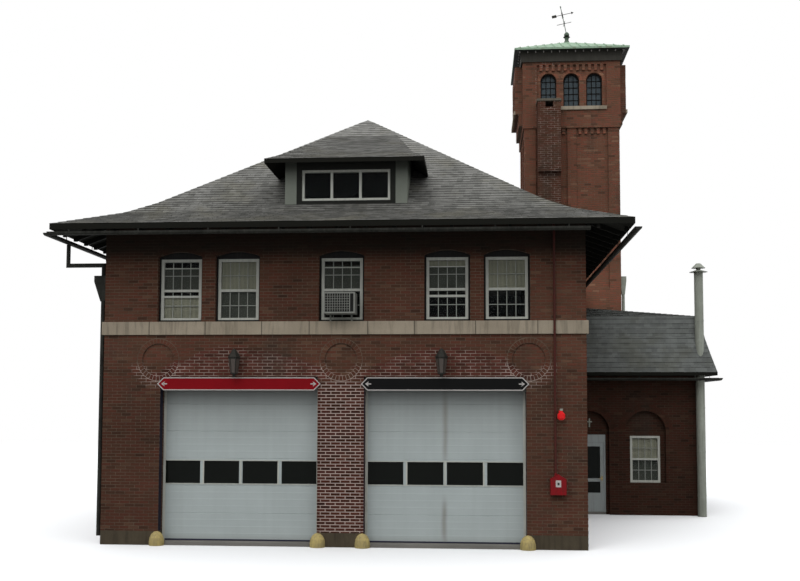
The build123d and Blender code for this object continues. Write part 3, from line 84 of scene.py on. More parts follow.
# %% [markdown]
# Shader maths is easier to read as arithmetic than as a web of nodes. A Wire holds one output
# socket, and +, -, * and / on it add a Math node each. A Shader is a tree of nodes, and its
# node() adds one, with its sockets' values or wires first and its settings last. A Finish is a
# material.


# %% Shader arithmetic
class Wire:
    """One output socket, on which the arithmetic operators add Math nodes."""

    def __init__(self, shader, socket):
        self.shader = shader
        self.socket = socket

    def maths(self, operation, *values):
        """The Math node of that operation on these values."""
        return self.shader.node("Math", dict(enumerate(values)), operation=operation)

    def __add__(self, other):
        return self.maths("ADD", self, other)

    def __sub__(self, other):
        return self.maths("SUBTRACT", self, other)

    def __mul__(self, other):
        return self.maths("MULTIPLY", self, other)

    def __truediv__(self, other):
        return self.maths("DIVIDE", self, other)

    def __rsub__(self, other):
        return self.maths("SUBTRACT", other, self)

    def __rtruediv__(self, other):
        return self.maths("DIVIDE", other, self)

    __radd__ = __add__
    __rmul__ = __mul__

    def floor(self):
        """The whole number below."""
        return self.maths("FLOOR", self)

    def over(self, edge, soft=0.001):
        """0 below an edge and 1 above it, with a soft step."""
        sockets = {0: self, 1: edge - soft, 2: edge + soft}
        return self.shader.node("MapRange", sockets, interpolation_type="SMOOTHSTEP", clamp=True)

    def between(self, low, high, soft=0.001):
        """1 between two edges and 0 outside them."""
        return self.over(low, soft) * (1 - self.over(high, soft))


class Shader:
    """A tree of shader nodes under construction."""

    def __init__(self, tree):
        self.tree = tree

    def feed(self, socket, value):
        """Gives an input socket a value, or links a wire to it."""
        if isinstance(value, Wire):
            self.tree.links.new(value.socket, socket)
        else:
            socket.default_value = value

    def node(self, kind, sockets, output=0, **settings):
        """Adds a node with its sockets' values or wires and its settings. Returns one output."""
        made = self.tree.nodes.new("ShaderNode" + kind)
        for key, value in settings.items():
            if key == "stops":
                self.set_stops(made.color_ramp.elements, value)
            else:
                setattr(made, key, value)
        for key, value in sockets.items():
            self.feed(made.inputs[key], value)
        return Wire(self, made.outputs[output])

    @staticmethod
    def set_stops(elements, stops):
        """Gives a colour ramp its (position, colour) stops."""
        while len(elements) < len(stops):
            elements.new(0.5)
        for element, (position, colour) in zip(elements, stops):
            element.position = position
            element.color = (*colour, 1)


finishes = {}


class Finish(Shader):
    """A material under construction, with its place sockets ready."""

    def __init__(self, name):
        self.material = finishes[name] = bpy.data.materials.new(name)
        self.material.use_nodes = True
        super().__init__(self.material.node_tree)
        self.surface = self.tree.nodes["Principled BSDF"]
        self.place = self.node("TexCoord", {}, "Object")
        self.x, self.y, self.z = (self.node("SeparateXYZ", {0: self.place}, axis) for axis in "XYZ")

    def facing(self, axis):
        """How far the surface faces along an axis, from -1 to 1."""
        return self.node("SeparateXYZ", {0: self.node("NewGeometry", {}, "True Normal")}, axis)

    def sideways(self, edge):
        """1 where the surface faces left or right by more than an edge, and 0 elsewhere."""
        across = self.facing("X")
        return across.maths("ABSOLUTE", across).over(edge)

    def chance(self, *cell):
        """A random number between 0 and 1 for each whole (x, y, z)."""
        key = self.node("CombineXYZ", dict(enumerate(cell)))
        return self.node("TexWhiteNoise", {0: key}, "Value", noise_dimensions="3D")

    def noise(self, scale, detail=3, rough=0.55, place=None):
        """Cloudy noise about 0.5, with that many waves a metre."""
        sockets = {"Vector": place or self.place, "Scale": scale, "Detail": detail, "Roughness": rough}
        return self.node("TexNoise", sockets, "Fac")

    def stretched(self, *factors):
        """The place, scaled by a factor along each axis."""
        return self.node("VectorMath", {0: self.place, 1: factors}, operation="MULTIPLY")

    def blend(self, share, first, second, **settings):
        """The Mix node of two colours."""
        pair = [colour if isinstance(colour, Wire) else (*colour, 1) for colour in (first, second)]
        return self.node("Mix", {0: share, 6: pair[0], 7: pair[1]}, 2, data_type="RGBA", **settings)

    def mix(self, share, first, second):
        """From the first colour at share 0 to the second at share 1."""
        return self.blend(share, first, second, clamp_factor=True)

    def tint(self, colour, strength):
        """A colour made lighter or darker by a number that varies over the surface."""
        grey = self.node("CombineColor", {0: strength, 1: strength, 2: strength})
        return self.blend(1.0, colour, grey, blend_type="MULTIPLY", clamp_result=False)

    def ramp(self, share, *stops):
        """A colour read from stops by a number between 0 and 1."""
        return self.node("ValToRGB", {0: share}, stops=stops)

    def layers(self, colour, *coats):
        """A colour with coats over it, each a share and a colour."""
        for share, coat in coats:
            colour = self.mix(share, colour, coat)
        return colour

    def wear(self, **sockets):
        """Sets the surface's own sockets, by name with _ for a space."""
        for key, value in sockets.items():
            self.feed(self.surface.inputs[key.replace("_", " ")], value)

    def done(self, colour, rough, shine, height=None, depth=0.0015, strength=0.3):
        """The material, with its colour, roughness, shine and a bump of some depth in metres."""
        self.wear(Base_Color=colour, Roughness=rough, Specular_IOR_Level=shine)
        if height:
            sockets = {"Height": height, "Distance": depth, "Strength": strength}
            self.wear(Normal=self.node("Bump", sockets))
        return self.material


print("shader arithmetic ready")

# %% [markdown]
# Every added piece is one mesh of many small blocks: bricks, shingles, window bars. They are
# worked out as whole arrays of n blocks by 8 corners by 3. A wall is a side and a distance from
# the origin, and on_wall() carries points from a wall's own axes (along, up, out) to the
# building's.

# %% Mesh tools
CORNERS = ((0, 0), (1, 0), (1, 1), (0, 1))
BLOCK_FACES = np.array(
    ((0, 3, 2, 1), (4, 5, 6, 7), (0, 1, 5, 4), (1, 2, 6, 5), (2, 3, 7, 6), (3, 0, 4, 7))
)
BLOCK_TRIANGLES = 12
WALL_AXES = {
    "front": ((1, 0, 0), (0, -1, 0)),
    "right": ((0, 1, 0), (1, 0, 0)),
    "back": ((-1, 0, 0), (0, 1, 0)),
    "left": ((0, -1, 0), (-1, 0, 0)),
}
SIDES = tuple(WALL_AXES)
SUNK = -0.001
made_blocks = {}


def piece(name, groups, finish, slot, body="building"):
    """One mesh object from groups of block corners, riding on a body of the CAD model."""
    corners = np.concatenate([group for group in groups if len(group)])
    faces = (8 * np.arange(len(corners))[:, None, None] + BLOCK_FACES).reshape(-1, 4)
    mesh = bpy.data.meshes.new(name)
    mesh.from_pydata(corners.reshape(-1, 3).tolist(), [], faces.tolist())
    mesh.materials.append(finish)
    mesh.polygons.foreach_set("use_smooth", np.zeros(len(faces), bool))
    mesh.update()
    made = add(name, mesh)
    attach(made, body)
    made_blocks[name] = len(corners)
    print(name, len(corners), "blocks")


def blocks(low, high):
    """Corners of upright blocks between n low corners and n high corners."""
    low, high = np.atleast_2d(low).astype(float), np.atleast_2d(high).astype(float)
    pick = np.array([(*corner, top) for top in (0, 1) for corner in CORNERS])
    return low[:, None] + pick * (high - low)[:, None]


def on_wall(wall, points):
    """Points (along, up, out) of a wall in the building's axes."""
    side, distance = wall
    along, out = np.array(WALL_AXES[side], float)
    points = np.asarray(points, float)
    up = np.array((0, 0, 1.0))
    return points[..., :1] * along + points[..., 1:2] * up + (points[..., 2:3] + distance) * out


def box(wall, low, high):
    """Blocks on a wall between (along, up, out) corners."""
    return on_wall(wall, blocks(low, high))


def in_row(wall, places, half, low, high):
    """Blocks on a wall about places along it, between two (up, out) corners."""
    return box(wall, [(x - half, *low) for x in places], [(x + half, *high) for x in places])


def raised(wall, flat, out):
    """Blocks on a wall from n x 4 corners (along, up), standing out of it."""
    levels = [np.concatenate((flat, np.full((*flat.shape[:2], 1), level)), 2) for level in (SUNK, out)]
    return on_wall(wall, np.concatenate(levels, 1))


def spread(count, pitch, middle=0.0):
    """Evenly spaced places about a middle."""
    return middle + (np.arange(count) - (count - 1) / 2) * pitch


print("mesh tools ready")

# %% [markdown]
# The building stands in plain soft daylight, brighter overhead than at the horizon, as under an
# even cloud: that, with shade painted on the wall's top, is what darkens the wall under the deep
# eaves. The camera, and what shines or is seen through, meet plain white instead. The floor is
# pale, and the building's shadow lies on it, but it throws little light back up.

# %% Light and floor
SKY_ZENITH, SKY_HORIZON = 1.85, 0.62
SKY_COLOUR = (0.96, 0.98, 1.0, 1)
WHITE = (1, 1, 1, 1)
SUN_STRENGTH, SUN_ANGLE = 0.9, 40
SUN_TURN = (38, -12, 0)
FLOOR_SHARE = 0.16
FLOOR_GREY = 0.86
FLOOR_FADE = (43, 17)
FLOOR_HALF, FLOOR_DROP = 400, 0.002

world = bpy.data.worlds.new("even_cloud")
bpy.context.scene.world = world
world.use_nodes = True
sky = Shader(world.node_tree)
sky.tree.nodes.clear()
up = sky.node("SeparateXYZ", {0: sky.node("TexCoord", {}, "Generated")}, "Z")
height = sky.node("MapRange", {0: up, 1: 0, 2: 1, 3: SKY_HORIZON, 4: SKY_ZENITH})
cloud = sky.node("Background", {"Color": SKY_COLOUR, "Strength": height})
plain = sky.node("Background", {"Color": WHITE, "Strength": 1})
looks = [sky.node("LightPath", {}, f"Is {kind} Ray") for kind in ("Camera", "Glossy", "Transmission")]
looked = up.maths("MAXIMUM", up.maths("MAXIMUM", *looks[:2]), looks[2])
either = sky.node("MixShader", {0: looked, 1: cloud, 2: plain})
sky.feed(sky.tree.nodes.new("ShaderNodeOutputWorld").inputs[0], either)

sun_data = bpy.data.lights.new("soft_sun", "SUN")
sun_data.energy = SUN_STRENGTH
sun_data.angle = math.radians(SUN_ANGLE)
add("soft_sun", sun_data).rotation_euler = np.radians(SUN_TURN)

ground = Finish("pale_floor")
ground.wear(Roughness=0.95, Base_Color=(FLOOR_GREY, FLOOR_GREY, FLOOR_GREY, 1))
dim_colour = (*[FLOOR_GREY * FLOOR_SHARE] * 3, 1)
dim = ground.node("BsdfDiffuse", {"Color": dim_colour})
white = ground.node("Emission", {"Color": WHITE, "Strength": 1.0})
reach = ground.node("VectorMath", {0: ground.place}, "Value", operation="LENGTH")
diffuse, seen = (ground.node("LightPath", {}, f"Is {kind} Ray") for kind in ("Diffuse", "Camera"))
near = ground.node("MixShader", {0: diffuse, 1: Wire(ground, ground.surface.outputs[0]), 2: dim})
far = ground.node("MixShader", {0: reach.over(*FLOOR_FADE) * seen, 1: near, 2: white})
ground.feed(ground.tree.nodes["Material Output"].inputs["Surface"], far)
floor_mesh = bpy.data.meshes.new("floor")
floor_corners = [((2 * x - 1) * FLOOR_HALF, (2 * y - 1) * FLOOR_HALF, 0) for x, y in CORNERS]
floor_mesh.from_pydata(floor_corners, [], [(0, 1, 2, 3)])
floor_mesh.materials.append(ground.material)
floor = add("floor", floor_mesh)
floor.location.z = -FLOOR_DROP
print("sky", SKY_HORIZON, "to", SKY_ZENITH)

# %% [markdown]
# Brickwork is a stretcher bond: every course moves along by half a brick. The finish works out
# which brick a point lies in from its place on the wall, gives that brick its own tone, and
# leaves mortar at the edges of the cell. The same rule sets out the modelled bricks below, so
# that they stand exactly on the drawn ones. On the middle pier and over the doors the joints
# were raked out and filled again with pale mortar. Shade is painted on the wall's top under the
# eaves and on the wing's walls, light on the upper storey, and the tower's bricks are lighter,
# partly with painted light.

# %% Brickwork finish
COURSE, STRETCHER, JOINT = 0.0675, 0.2135, 0.011
PIER_JOINT, PATCH_JOINT = 0.019, 0.015
PIER_HALF, PIER_TOP = 0.53, 3.5
PATCH_MIDDLES = (-2.2, 2.25)
PATCH_HALF, PATCH_FOOT, PATCH_FALL = 2.0, 3.56, 0.17
BRICK_DARK = (0.040, 0.0190, 0.0120)
BRICK_BROWN = (0.064, 0.0300, 0.0182)
BRICK_RED = (0.083, 0.0298, 0.0188)
BRICK_PALE = (0.098, 0.0500, 0.0310)
BRICK_SCRUBBED = (0.078, 0.022, 0.017)
BRICK_SHARES = (
    (0.0, BRICK_DARK), (0.12, BRICK_BROWN), (0.55, BRICK_RED), (0.9, BRICK_BROWN), (1.0, BRICK_PALE)
)
MORTAR_OLD, MORTAR_PALE = (0.138, 0.104, 0.075), (0.40, 0.32, 0.28)
# Where the shade painted under the eaves begins, and its colour.
EAVE_SHADE_HEIGHT, EAVE_SHADE = 6.24, (0.0125, 0.0122, 0.0092)
RAIN_STAIN = (0.036, 0.028, 0.022)
REVEAL_PAINT = (0.016, 0.015, 0.026)
ROUNDELS = (-4.01, 0.0, 4.01)
ROUNDEL_HEIGHT, ROUNDEL_RADIUS = 3.99, 0.35
RING_DEEP = 0.105


def brickwork(name, drawn=True, tower=0.0):
    """Stretcher bond on upright walls; drawn is False on modelled bricks, which have no joints."""
    paint = Finish(name)
    side = paint.sideways(0.6)
    along = paint.x * (1 - side) + paint.y * side
    course = (paint.z / COURSE).floor()
    odd = course.maths("FLOORED_MODULO", course, 2.0)
    shifted = along / STRETCHER + odd * 0.5
    cell = shifted.floor()
    tone = paint.chance(cell, course, side * 7 + tower)
    cloud = paint.noise(0.55, 4)
    broad = paint.noise(0.16, 2)
    grain = paint.noise(38, 4, 0.7)
    front = 1 - paint.y.over(-7.3, 0.01)

    pier = paint.x.between(-PIER_HALF, PIER_HALF, 0.02) * paint.z.between(0.2, PIER_TOP, 0.02)
    pier = pier * (1 - side) * front
    ragged = (cloud - 0.5) * 0.5 + (tone - 0.5) * 0.1
    patches = 0
    for middle in PATCH_MIDDLES:
        off = paint.x - middle
        crown = 4.27 - off * off * PATCH_FALL
        edge = off.between(-PATCH_HALF, PATCH_HALF, 0.08)
        patches = patches + (crown - paint.z + ragged).over(0.0, 0.03) * edge
    patches = patches * paint.z.over(PATCH_FOOT, 0.03) * front * (1 - side)

    # tower raises the level: the tower's bricks are partly paler, partly given painted light, as it stands
    # clear of the eaves' shade.
    level = 0.92 + (cloud - 0.5) * 1.0 + (broad - 0.5) * 0.5 + (grain - 0.5) * 0.5 + tower * 1.15
    # Painted shade on the wing's walls below 6 m: it darkens their bricks here and their mortar below.
    wing = paint.x.over(5.25, 0.01) * (1 - paint.z.over(6.0, 0.2)) * (1 - tower)
    # The main walls are lightened from 3.7 m to 7.2 m up: painted light that offsets the shade the eaves cast
    # there.
    level = level * (1 - wing * 0.42) * (1 + paint.z.between(3.7, 7.2, 0.35) * 0.26)
    level = level * (1 + paint.x.between(4.0, 5.25, 0.1) * (1 - paint.y.over(-7.3)) * 0.10)
    # Painted shade on the main walls' top under the deep eaves, on bricks and mortar alike; the chimney is
    # left out.
    eave_shade = paint.z.between(EAVE_SHADE_HEIGHT, 7.3, 0.22) * (1 - tower) * (1 - paint.y.between(1.9, 2.75))
    level = level * (1 - eave_shade * 0.64) * (1 - pier * 0.22)
    scrubbed = paint.tint(BRICK_SCRUBBED, 0.55 + tone * 0.75 + (grain - 0.5) * 0.5 - pier * 0.22)
    stain = (paint.noise(1.1, 5, 0.7, paint.stretched(1, 1, 0.35)) - 0.62).over(0.0, 0.1) * 0.5
    colour = paint.layers(
        paint.tint(paint.ramp(tone, *BRICK_SHARES), level),
        (patches * 0.75 + pier * 0.6, scrubbed), (stain, RAIN_STAIN), (eave_shade * 0.6, EAVE_SHADE),
    )
    height = grain * 0.4

    if drawn:
        across = shifted - cell
        rise = paint.z / COURSE - course
        side_edge = across.maths("MINIMUM", across, 1 - across) * STRETCHER
        bed_edge = rise.maths("MINIMUM", rise, 1 - rise) * COURSE
        nearest = side_edge.maths("MINIMUM", side_edge, bed_edge)
        raked = pier * (PIER_JOINT - JOINT) + patches * (PATCH_JOINT - JOINT)
        brick = (nearest - (JOINT + raked) / 2).over(0.0, 0.0015)
        aged = (0.7 + (paint.noise(2.3, 4) - 0.3) * 1.1) * (1 - eave_shade * 0.8) * (1 - wing * 0.6)
        stack = paint.x.between(4.8, 5.55) * paint.y.between(1.9, 2.7) * paint.z.over(7.0)
        fresh = stack * paint.noise(6.0, 2).over(0.5, 0.1) * 0.7 + pier * 0.95
        fresh = fresh + patches * paint.noise(5.0, 2).over(0.47, 0.12) * 0.56
        rings = 0
        for middle in ROUNDELS:
            off, above = paint.x - middle, paint.z - ROUNDEL_HEIGHT
            far = off.maths("SQRT", off * off + above * above)
            rings = rings + far.between(ROUNDEL_RADIUS, ROUNDEL_RADIUS + RING_DEEP + JOINT)
            fresh = fresh + far.between(0.3, 0.62, 0.05) * (1 - above.over(-0.12, 0.1)) * front * 0.8
        pale = paint.tint(MORTAR_PALE, 0.75 + grain * 0.5 + pier * 0.12)
        mortar = paint.mix(fresh, paint.tint(MORTAR_OLD, aged), pale)
        brick = brick * (1 - rings * front * (1 - side))
        colour = paint.mix(brick, mortar, colour)
        height = height + brick

    reveal = side * front * (1 - paint.z.over(3.62)) * paint.x.between(-4.2, 4.2)
    colour = paint.mix(reveal, colour, REVEAL_PAINT)
    return paint.done(colour, 0.86 + grain * 0.1, 0.1, height, 0.004, 0.7)


wall_finish = brickwork("brickwork")
brick_finish = brickwork("brick_faces", drawn=False)
# The tower's copies are lighter, partly with painted light; its arches and corbel ends are lighter still.
tower_wall_finish = brickwork("tower_brickwork", tower=1.0)
tower_brick_finish = brickwork("tower_brick_faces", drawn=False, tower=1.0)
tower_arch_finish = brickwork("tower_arch_faces", drawn=False, tower=1.7)
print("course", COURSE, "m, stretcher", STRETCHER, "m, joint", JOINT, "m")

# %% [markdown]
# The bricks themselves stand a few millimetres out of their joints. For each wall, all the cells
# of the bond are made at once as rectangles. A window, arch or roundel then takes its width at
# each course's height out of them, and slivers are dropped. Each brick is pushed out by its own
# small amount, so the wall isn't a flat print.

# %% Laying bricks
BRICK_PROUD, BRICK_ROUGH = 0.004, 0.0025
SHORTEST, THINNEST = 0.03, 0.02
NOWHERE = -99.0
CLEAR = 0.003


def disc(centre, height, radius, above=NOWHERE, limit=-NOWHERE):
    """A round hole, or the part of it above a height and within a half width."""
    return ("disc", centre, height, radius, above, limit)


def slab(centre, half, low, high):
    """A rectangular hole."""
    return ("slab", centre, half, low, high, half)


def half_width(hole, low, high, narrow=False):
    """Half a hole's width at courses from low to high: its widest there, or its narrowest."""
    kind, _, a, b, c, limit = hole
    if kind == "slab":
        return np.where((high > b) & (low < c), a, 0.0)
    bottom = np.maximum(low, c)
    ends = np.array((abs(bottom - a), abs(high - a)))
    near = np.where((bottom <= a) & (high >= a), 0.0, ends.min(0))
    off = ends.max(0) if narrow else near
    width = np.sqrt(np.maximum(b * b - off * off, 0.0))
    return np.where(high > c, np.minimum(width, limit), 0.0)


def lay(wall, span, rise, holes=(), seed=1, outline=None, joints=None):
    """Corners of the bricks on part of a wall, around its holes and inside an outline.
    joints gives the joint's width at places (along, up) where it isn't the usual one."""
    courses = np.arange(math.floor(rise[0] / COURSE + 1e-6), math.ceil(rise[1] / COURSE - 1e-6))
    columns = np.arange(math.floor(span[0] / STRETCHER) - 1, math.ceil(span[1] / STRETCHER) + 2)
    course, column = (a.ravel() for a in np.meshgrid(courses, columns, indexing="ij"))
    cell = (column - 0.5 * (course % 2)) * STRETCHER
    gap = joints(cell + STRETCHER / 2, (course + 0.5) * COURSE) if joints else JOINT
    left = np.maximum(cell + gap / 2, span[0])
    right = np.minimum(cell + STRETCHER - gap / 2, span[1])
    low = np.maximum(course * COURSE + gap / 2, rise[0])
    high = np.minimum((course + 1) * COURSE - gap / 2, rise[1])
    if outline:
        width = half_width(outline, low, high, narrow=True)
        left = np.maximum(left, outline[1] - width)
        right = np.minimum(right, outline[1] + width)
    keep = np.ones(len(left), bool)
    for hole in holes:
        width = half_width(hole, low, high)
        hole_left, hole_right = hole[1] - width, hole[1] + width
        over = (width > 0) & (left < hole_right) & (right > hole_left)
        stays_left = over & (left < hole_left)
        stays_right = over & ~stays_left & (right > hole_right)
        right = np.where(stays_left, np.minimum(right, hole_left), right)
        left = np.where(stays_right, hole_right, left)
        keep &= ~(over & ~stays_left & ~stays_right)
    keep &= (right - left > SHORTEST) & (high - low > THINNEST)
    left, right, low, high = left[keep], right[keep], low[keep], high[keep]
    out = BRICK_PROUD + BRICK_ROUGH * np.random.default_rng(seed).random(len(left))
    return box(wall, np.stack((left, low, np.full(len(left), SUNK)), 1), np.stack((right, high, out), 1))


def ring(wall, centre, height, arc, start, stop, count, out=0.005):
    """Corners of wedge bricks in a ring: count of them from angle start to stop, in degrees,
    between the two radii of an arc."""
    inner, outer = arc
    edges = np.radians(np.linspace(start, stop, count + 1))
    gap = JOINT / (inner + outer)
    first, last = edges[:-1] + gap, edges[1:] - gap
    flat = [
        np.stack((radius * np.cos(angle) + centre, radius * np.sin(angle) + height), 1)
        for radius, angle in ((inner, first), (outer, first), (outer, last), (inner, last))
    ]
    return raised(wall, np.stack(flat, 1), out)


print("bricks stand", BRICK_PROUD, "m proud, and up to", BRICK_ROUGH, "m more")

# %% [markdown]
# On the main block the bricks lie in two storeys, below and above the limestone belt. Each
# window has a flat arch of bricks on end, and each roundel is a ring with a sunk disc of the
# same bond inside it. The right wall is bare where the wing and the tower stand against it.

# %% Bricks of the main block
BELT = (4.530, 4.815)
WALL_TOP = 7.061
FRONT_PLANE, SIDE_PLANE = 7.5, 5.22
FRONT, BACK = ("front", FRONT_PLANE), ("back", FRONT_PLANE)
LEFT, RIGHT = ("left", SIDE_PLANE), ("right", SIDE_PLANE)
BAY_MIDDLES = (-2.225, 2.225)
BAY_HALF, BAY_TOP = 1.725, 3.62
WINDOW_HALF, WINDOW_SPRING, WINDOW_RISE = 0.4925, 1.43, 0.105
HEAD_DEEP, BEARING = 0.115, 0.065
FRONT_WINDOWS = (-3.555, -2.28, 0.0, 2.28, 3.555)
LEFT_WINDOWS, BACK_WINDOWS, RIGHT_WINDOWS = spread(4, 3.3), spread(3, 3.3), (-5.25, -2.65)
LOWER_SILL = 1.5
WINDOW_ROUND = (WINDOW_HALF**2 + WINDOW_RISE**2) / (2 * WINDOW_RISE)
HEAD_ANGLE = math.degrees(math.asin(WINDOW_HALF / WINDOW_ROUND)) + 1.5
WING_FRONT, WING_BACK = -0.4, 6.6
TOWER_X, TOWER_Y, TOWER_HALF = 5.92, 4.18, 1.48


def storey(wall, half, rise, places, sill, seed, holes=()):
    """Bricks of a storey with a row of windows, and of the flat arch over each of them."""
    spring = sill + WINDOW_SPRING
    centre = spring + WINDOW_RISE - WINDOW_ROUND
    cuts = []
    for x in places:
        cuts.append(slab(x, WINDOW_HALF, sill - 0.01, spring))
        reach = WINDOW_ROUND + HEAD_DEEP + JOINT
        cuts.append(disc(x, centre, reach, spring - 0.02, WINDOW_HALF + BEARING))
    laid = [lay(wall, (-half, half), rise, [*cuts, *holes], seed)]
    arc = (WINDOW_ROUND + JOINT / 2, WINDOW_ROUND + HEAD_DEEP)
    return laid + [ring(wall, x, centre, arc, 90 - HEAD_ANGLE, 90 + HEAD_ANGLE, 15) for x in places]


def front_joints(x, z):
    """Wide joints on the middle pier and on the patches over the doors, as in the finish."""
    wide = np.where((abs(x) < PIER_HALF) & (z < PIER_TOP), PIER_JOINT, JOINT)
    for middle in PATCH_MIDDLES:
        off = x - middle
        patch = (abs(off) < PATCH_HALF) & (z > PATCH_FOOT) & (z < 4.2 - off * off * PATCH_FALL)
        wide = np.where(patch, PATCH_JOINT, wide)
    return wide


holes = [slab(x, BAY_HALF, 0, BAY_TOP) for x in BAY_MIDDLES]
holes += [disc(x, ROUNDEL_HEIGHT, ROUNDEL_RADIUS + RING_DEEP + JOINT) for x in ROUNDELS]
front = [lay(FRONT, (-SIDE_PLANE, SIDE_PLANE), (0.30, BELT[0]), holes, seed=2, joints=front_joints)]
front += storey(FRONT, SIDE_PLANE, (BELT[1], WALL_TOP), FRONT_WINDOWS, BELT[1], 3)
for x in ROUNDELS:
    arc = (ROUNDEL_RADIUS + JOINT / 2, ROUNDEL_RADIUS + RING_DEEP)
    front.append(ring(FRONT, x, ROUNDEL_HEIGHT, arc, 0, 360, 34))
    outline = disc(x, ROUNDEL_HEIGHT, ROUNDEL_RADIUS - 0.004)
    sunk = ("front", FRONT_PLANE - 0.03)
    front.append(lay(sunk, (x - 0.4, x + 0.4), (3.6, 4.4), seed=5, outline=outline))
piece("front_bricks", front, brick_finish, "brick")

around = []
for rise, sill in (((0.0, BELT[0]), LOWER_SILL), ((BELT[1], WALL_TOP), BELT[1])):
    around += storey(LEFT, FRONT_PLANE, rise, LEFT_WINDOWS, sill, int(sill * 10))
    around += storey(BACK, SIDE_PLANE, rise, BACK_WINDOWS, sill, int(sill * 10))
around.append(lay(RIGHT, (-FRONT_PLANE, WING_FRONT), (0, BELT[0]), seed=11))
around.append(lay(RIGHT, (WING_BACK, FRONT_PLANE), (0, BELT[0]), seed=12))
tower_gap = slab(TOWER_Y, TOWER_HALF, 0, 9)
around += storey(RIGHT, FRONT_PLANE, (BELT[1], WALL_TOP), RIGHT_WINDOWS, BELT[1], 13, [tower_gap])
piece("side_and_back_bricks", around, brick_finish, "brick")

# %% [markdown]
# The wing, the tower and the chimney are laid the same way. The wing's door and windows stand in
# round-headed recesses, whose back walls are a separate, deeper plane of bricks; the tower has
# long sunk panels, and a lookout storey that stands out a little and carries three arched
# windows a side. Its left and right faces have bays there, which stand out further.

# %% Bricks of the wing, tower and chimney
WING_TOP, WING_LEFT, WING_RIGHT = 3.86, 5.22, 9.02
ARCH_HALF, ARCH_SPRING, ARCH_RECESS, ARCH_DEEP = 0.55, 2.32, 0.11, 0.205
DOOR_OPENING = slab(6.03, 0.46, 0, 2.21)
WING_WINDOW = (0.41, 0.89, 2.18)
WING_SILL = WING_WINDOW[1]
WING_WINDOWS = {"front": (7.58,), "right": spread(2, 2.3, 3.1), "back": (-7.42,)}


def arched(wall, opening, seed):
    """The hole of a round-headed recess about an opening, and its two rings and sunk bricks."""
    x, sill = opening[1], opening[3]
    outer = ARCH_HALF + ARCH_DEEP
    hole = [slab(x, ARCH_HALF, sill - 0.01, ARCH_SPRING), disc(x, ARCH_SPRING, outer + JOINT, ARCH_SPRING)]
    arcs = ((ARCH_HALF + JOINT / 2, ARCH_HALF + 0.1), (ARCH_HALF + 0.105 + JOINT / 2, outer))
    laid = [ring(wall, x, ARCH_SPRING, arc, 0, 180, count) for arc, count in zip(arcs, (24, 28))]
    recess = (wall[0], wall[1] - ARCH_RECESS)
    span = (x - ARCH_HALF + CLEAR, x + ARCH_HALF - CLEAR)
    laid.append(lay(recess, span, (sill, ARCH_SPRING), [opening], seed))
    outline = disc(x, ARCH_SPRING, ARCH_HALF - 0.004)
    rise = (ARCH_SPRING, ARCH_SPRING + ARCH_HALF)
    laid.append(lay(recess, span, rise, [opening], seed + 1, outline))
    return hole, laid


wing = []
for side, distance, span, seed in (
    ("front", -WING_FRONT, (WING_LEFT, WING_RIGHT), 21),
    ("right", WING_RIGHT, (WING_FRONT, WING_BACK), 25),
    ("back", WING_BACK, (-WING_RIGHT, -WING_LEFT), 25),
):
    holes = []
    openings = [DOOR_OPENING] if side == "front" else []
    for opening in openings + [slab(x, *WING_WINDOW) for x in WING_WINDOWS[side]]:
        hole, laid = arched((side, distance), opening, seed)
        holes += hole
        wing += laid
    wing.append(lay((side, distance), span, (0, WING_TOP), holes, seed + 2))
piece("wing_bricks", wing, brick_finish, "brick")

BELFRY_HALF, BELFRY = 1.52, (11.75, 13.87)
PANEL_BASE, PANEL_DEEP, PANEL_HALF, PANEL_X = 6.70, 0.06, 0.495, 0.635
BELFRY_PANEL = (1.09, 12.32, 13.78)
LOOKOUT_HALF, LOOKOUT_SILL, LOOKOUT_SPRING = 0.25, 12.43, 13.27
LOOKOUT_RISE = (LOOKOUT_SILL, 13.58)
CORBEL_LOW = 11.56
BAY_OUT, BAY_FOOT = 0.23, 11.95
# The middle of each side along its wall, and how far the tower's middle lies out that way.
tower_middle = {
    "front": (TOWER_X, -TOWER_Y), "right": (TOWER_Y, TOWER_X),
    "back": (-TOWER_X, TOWER_Y), "left": (-TOWER_Y, -TOWER_X),
}
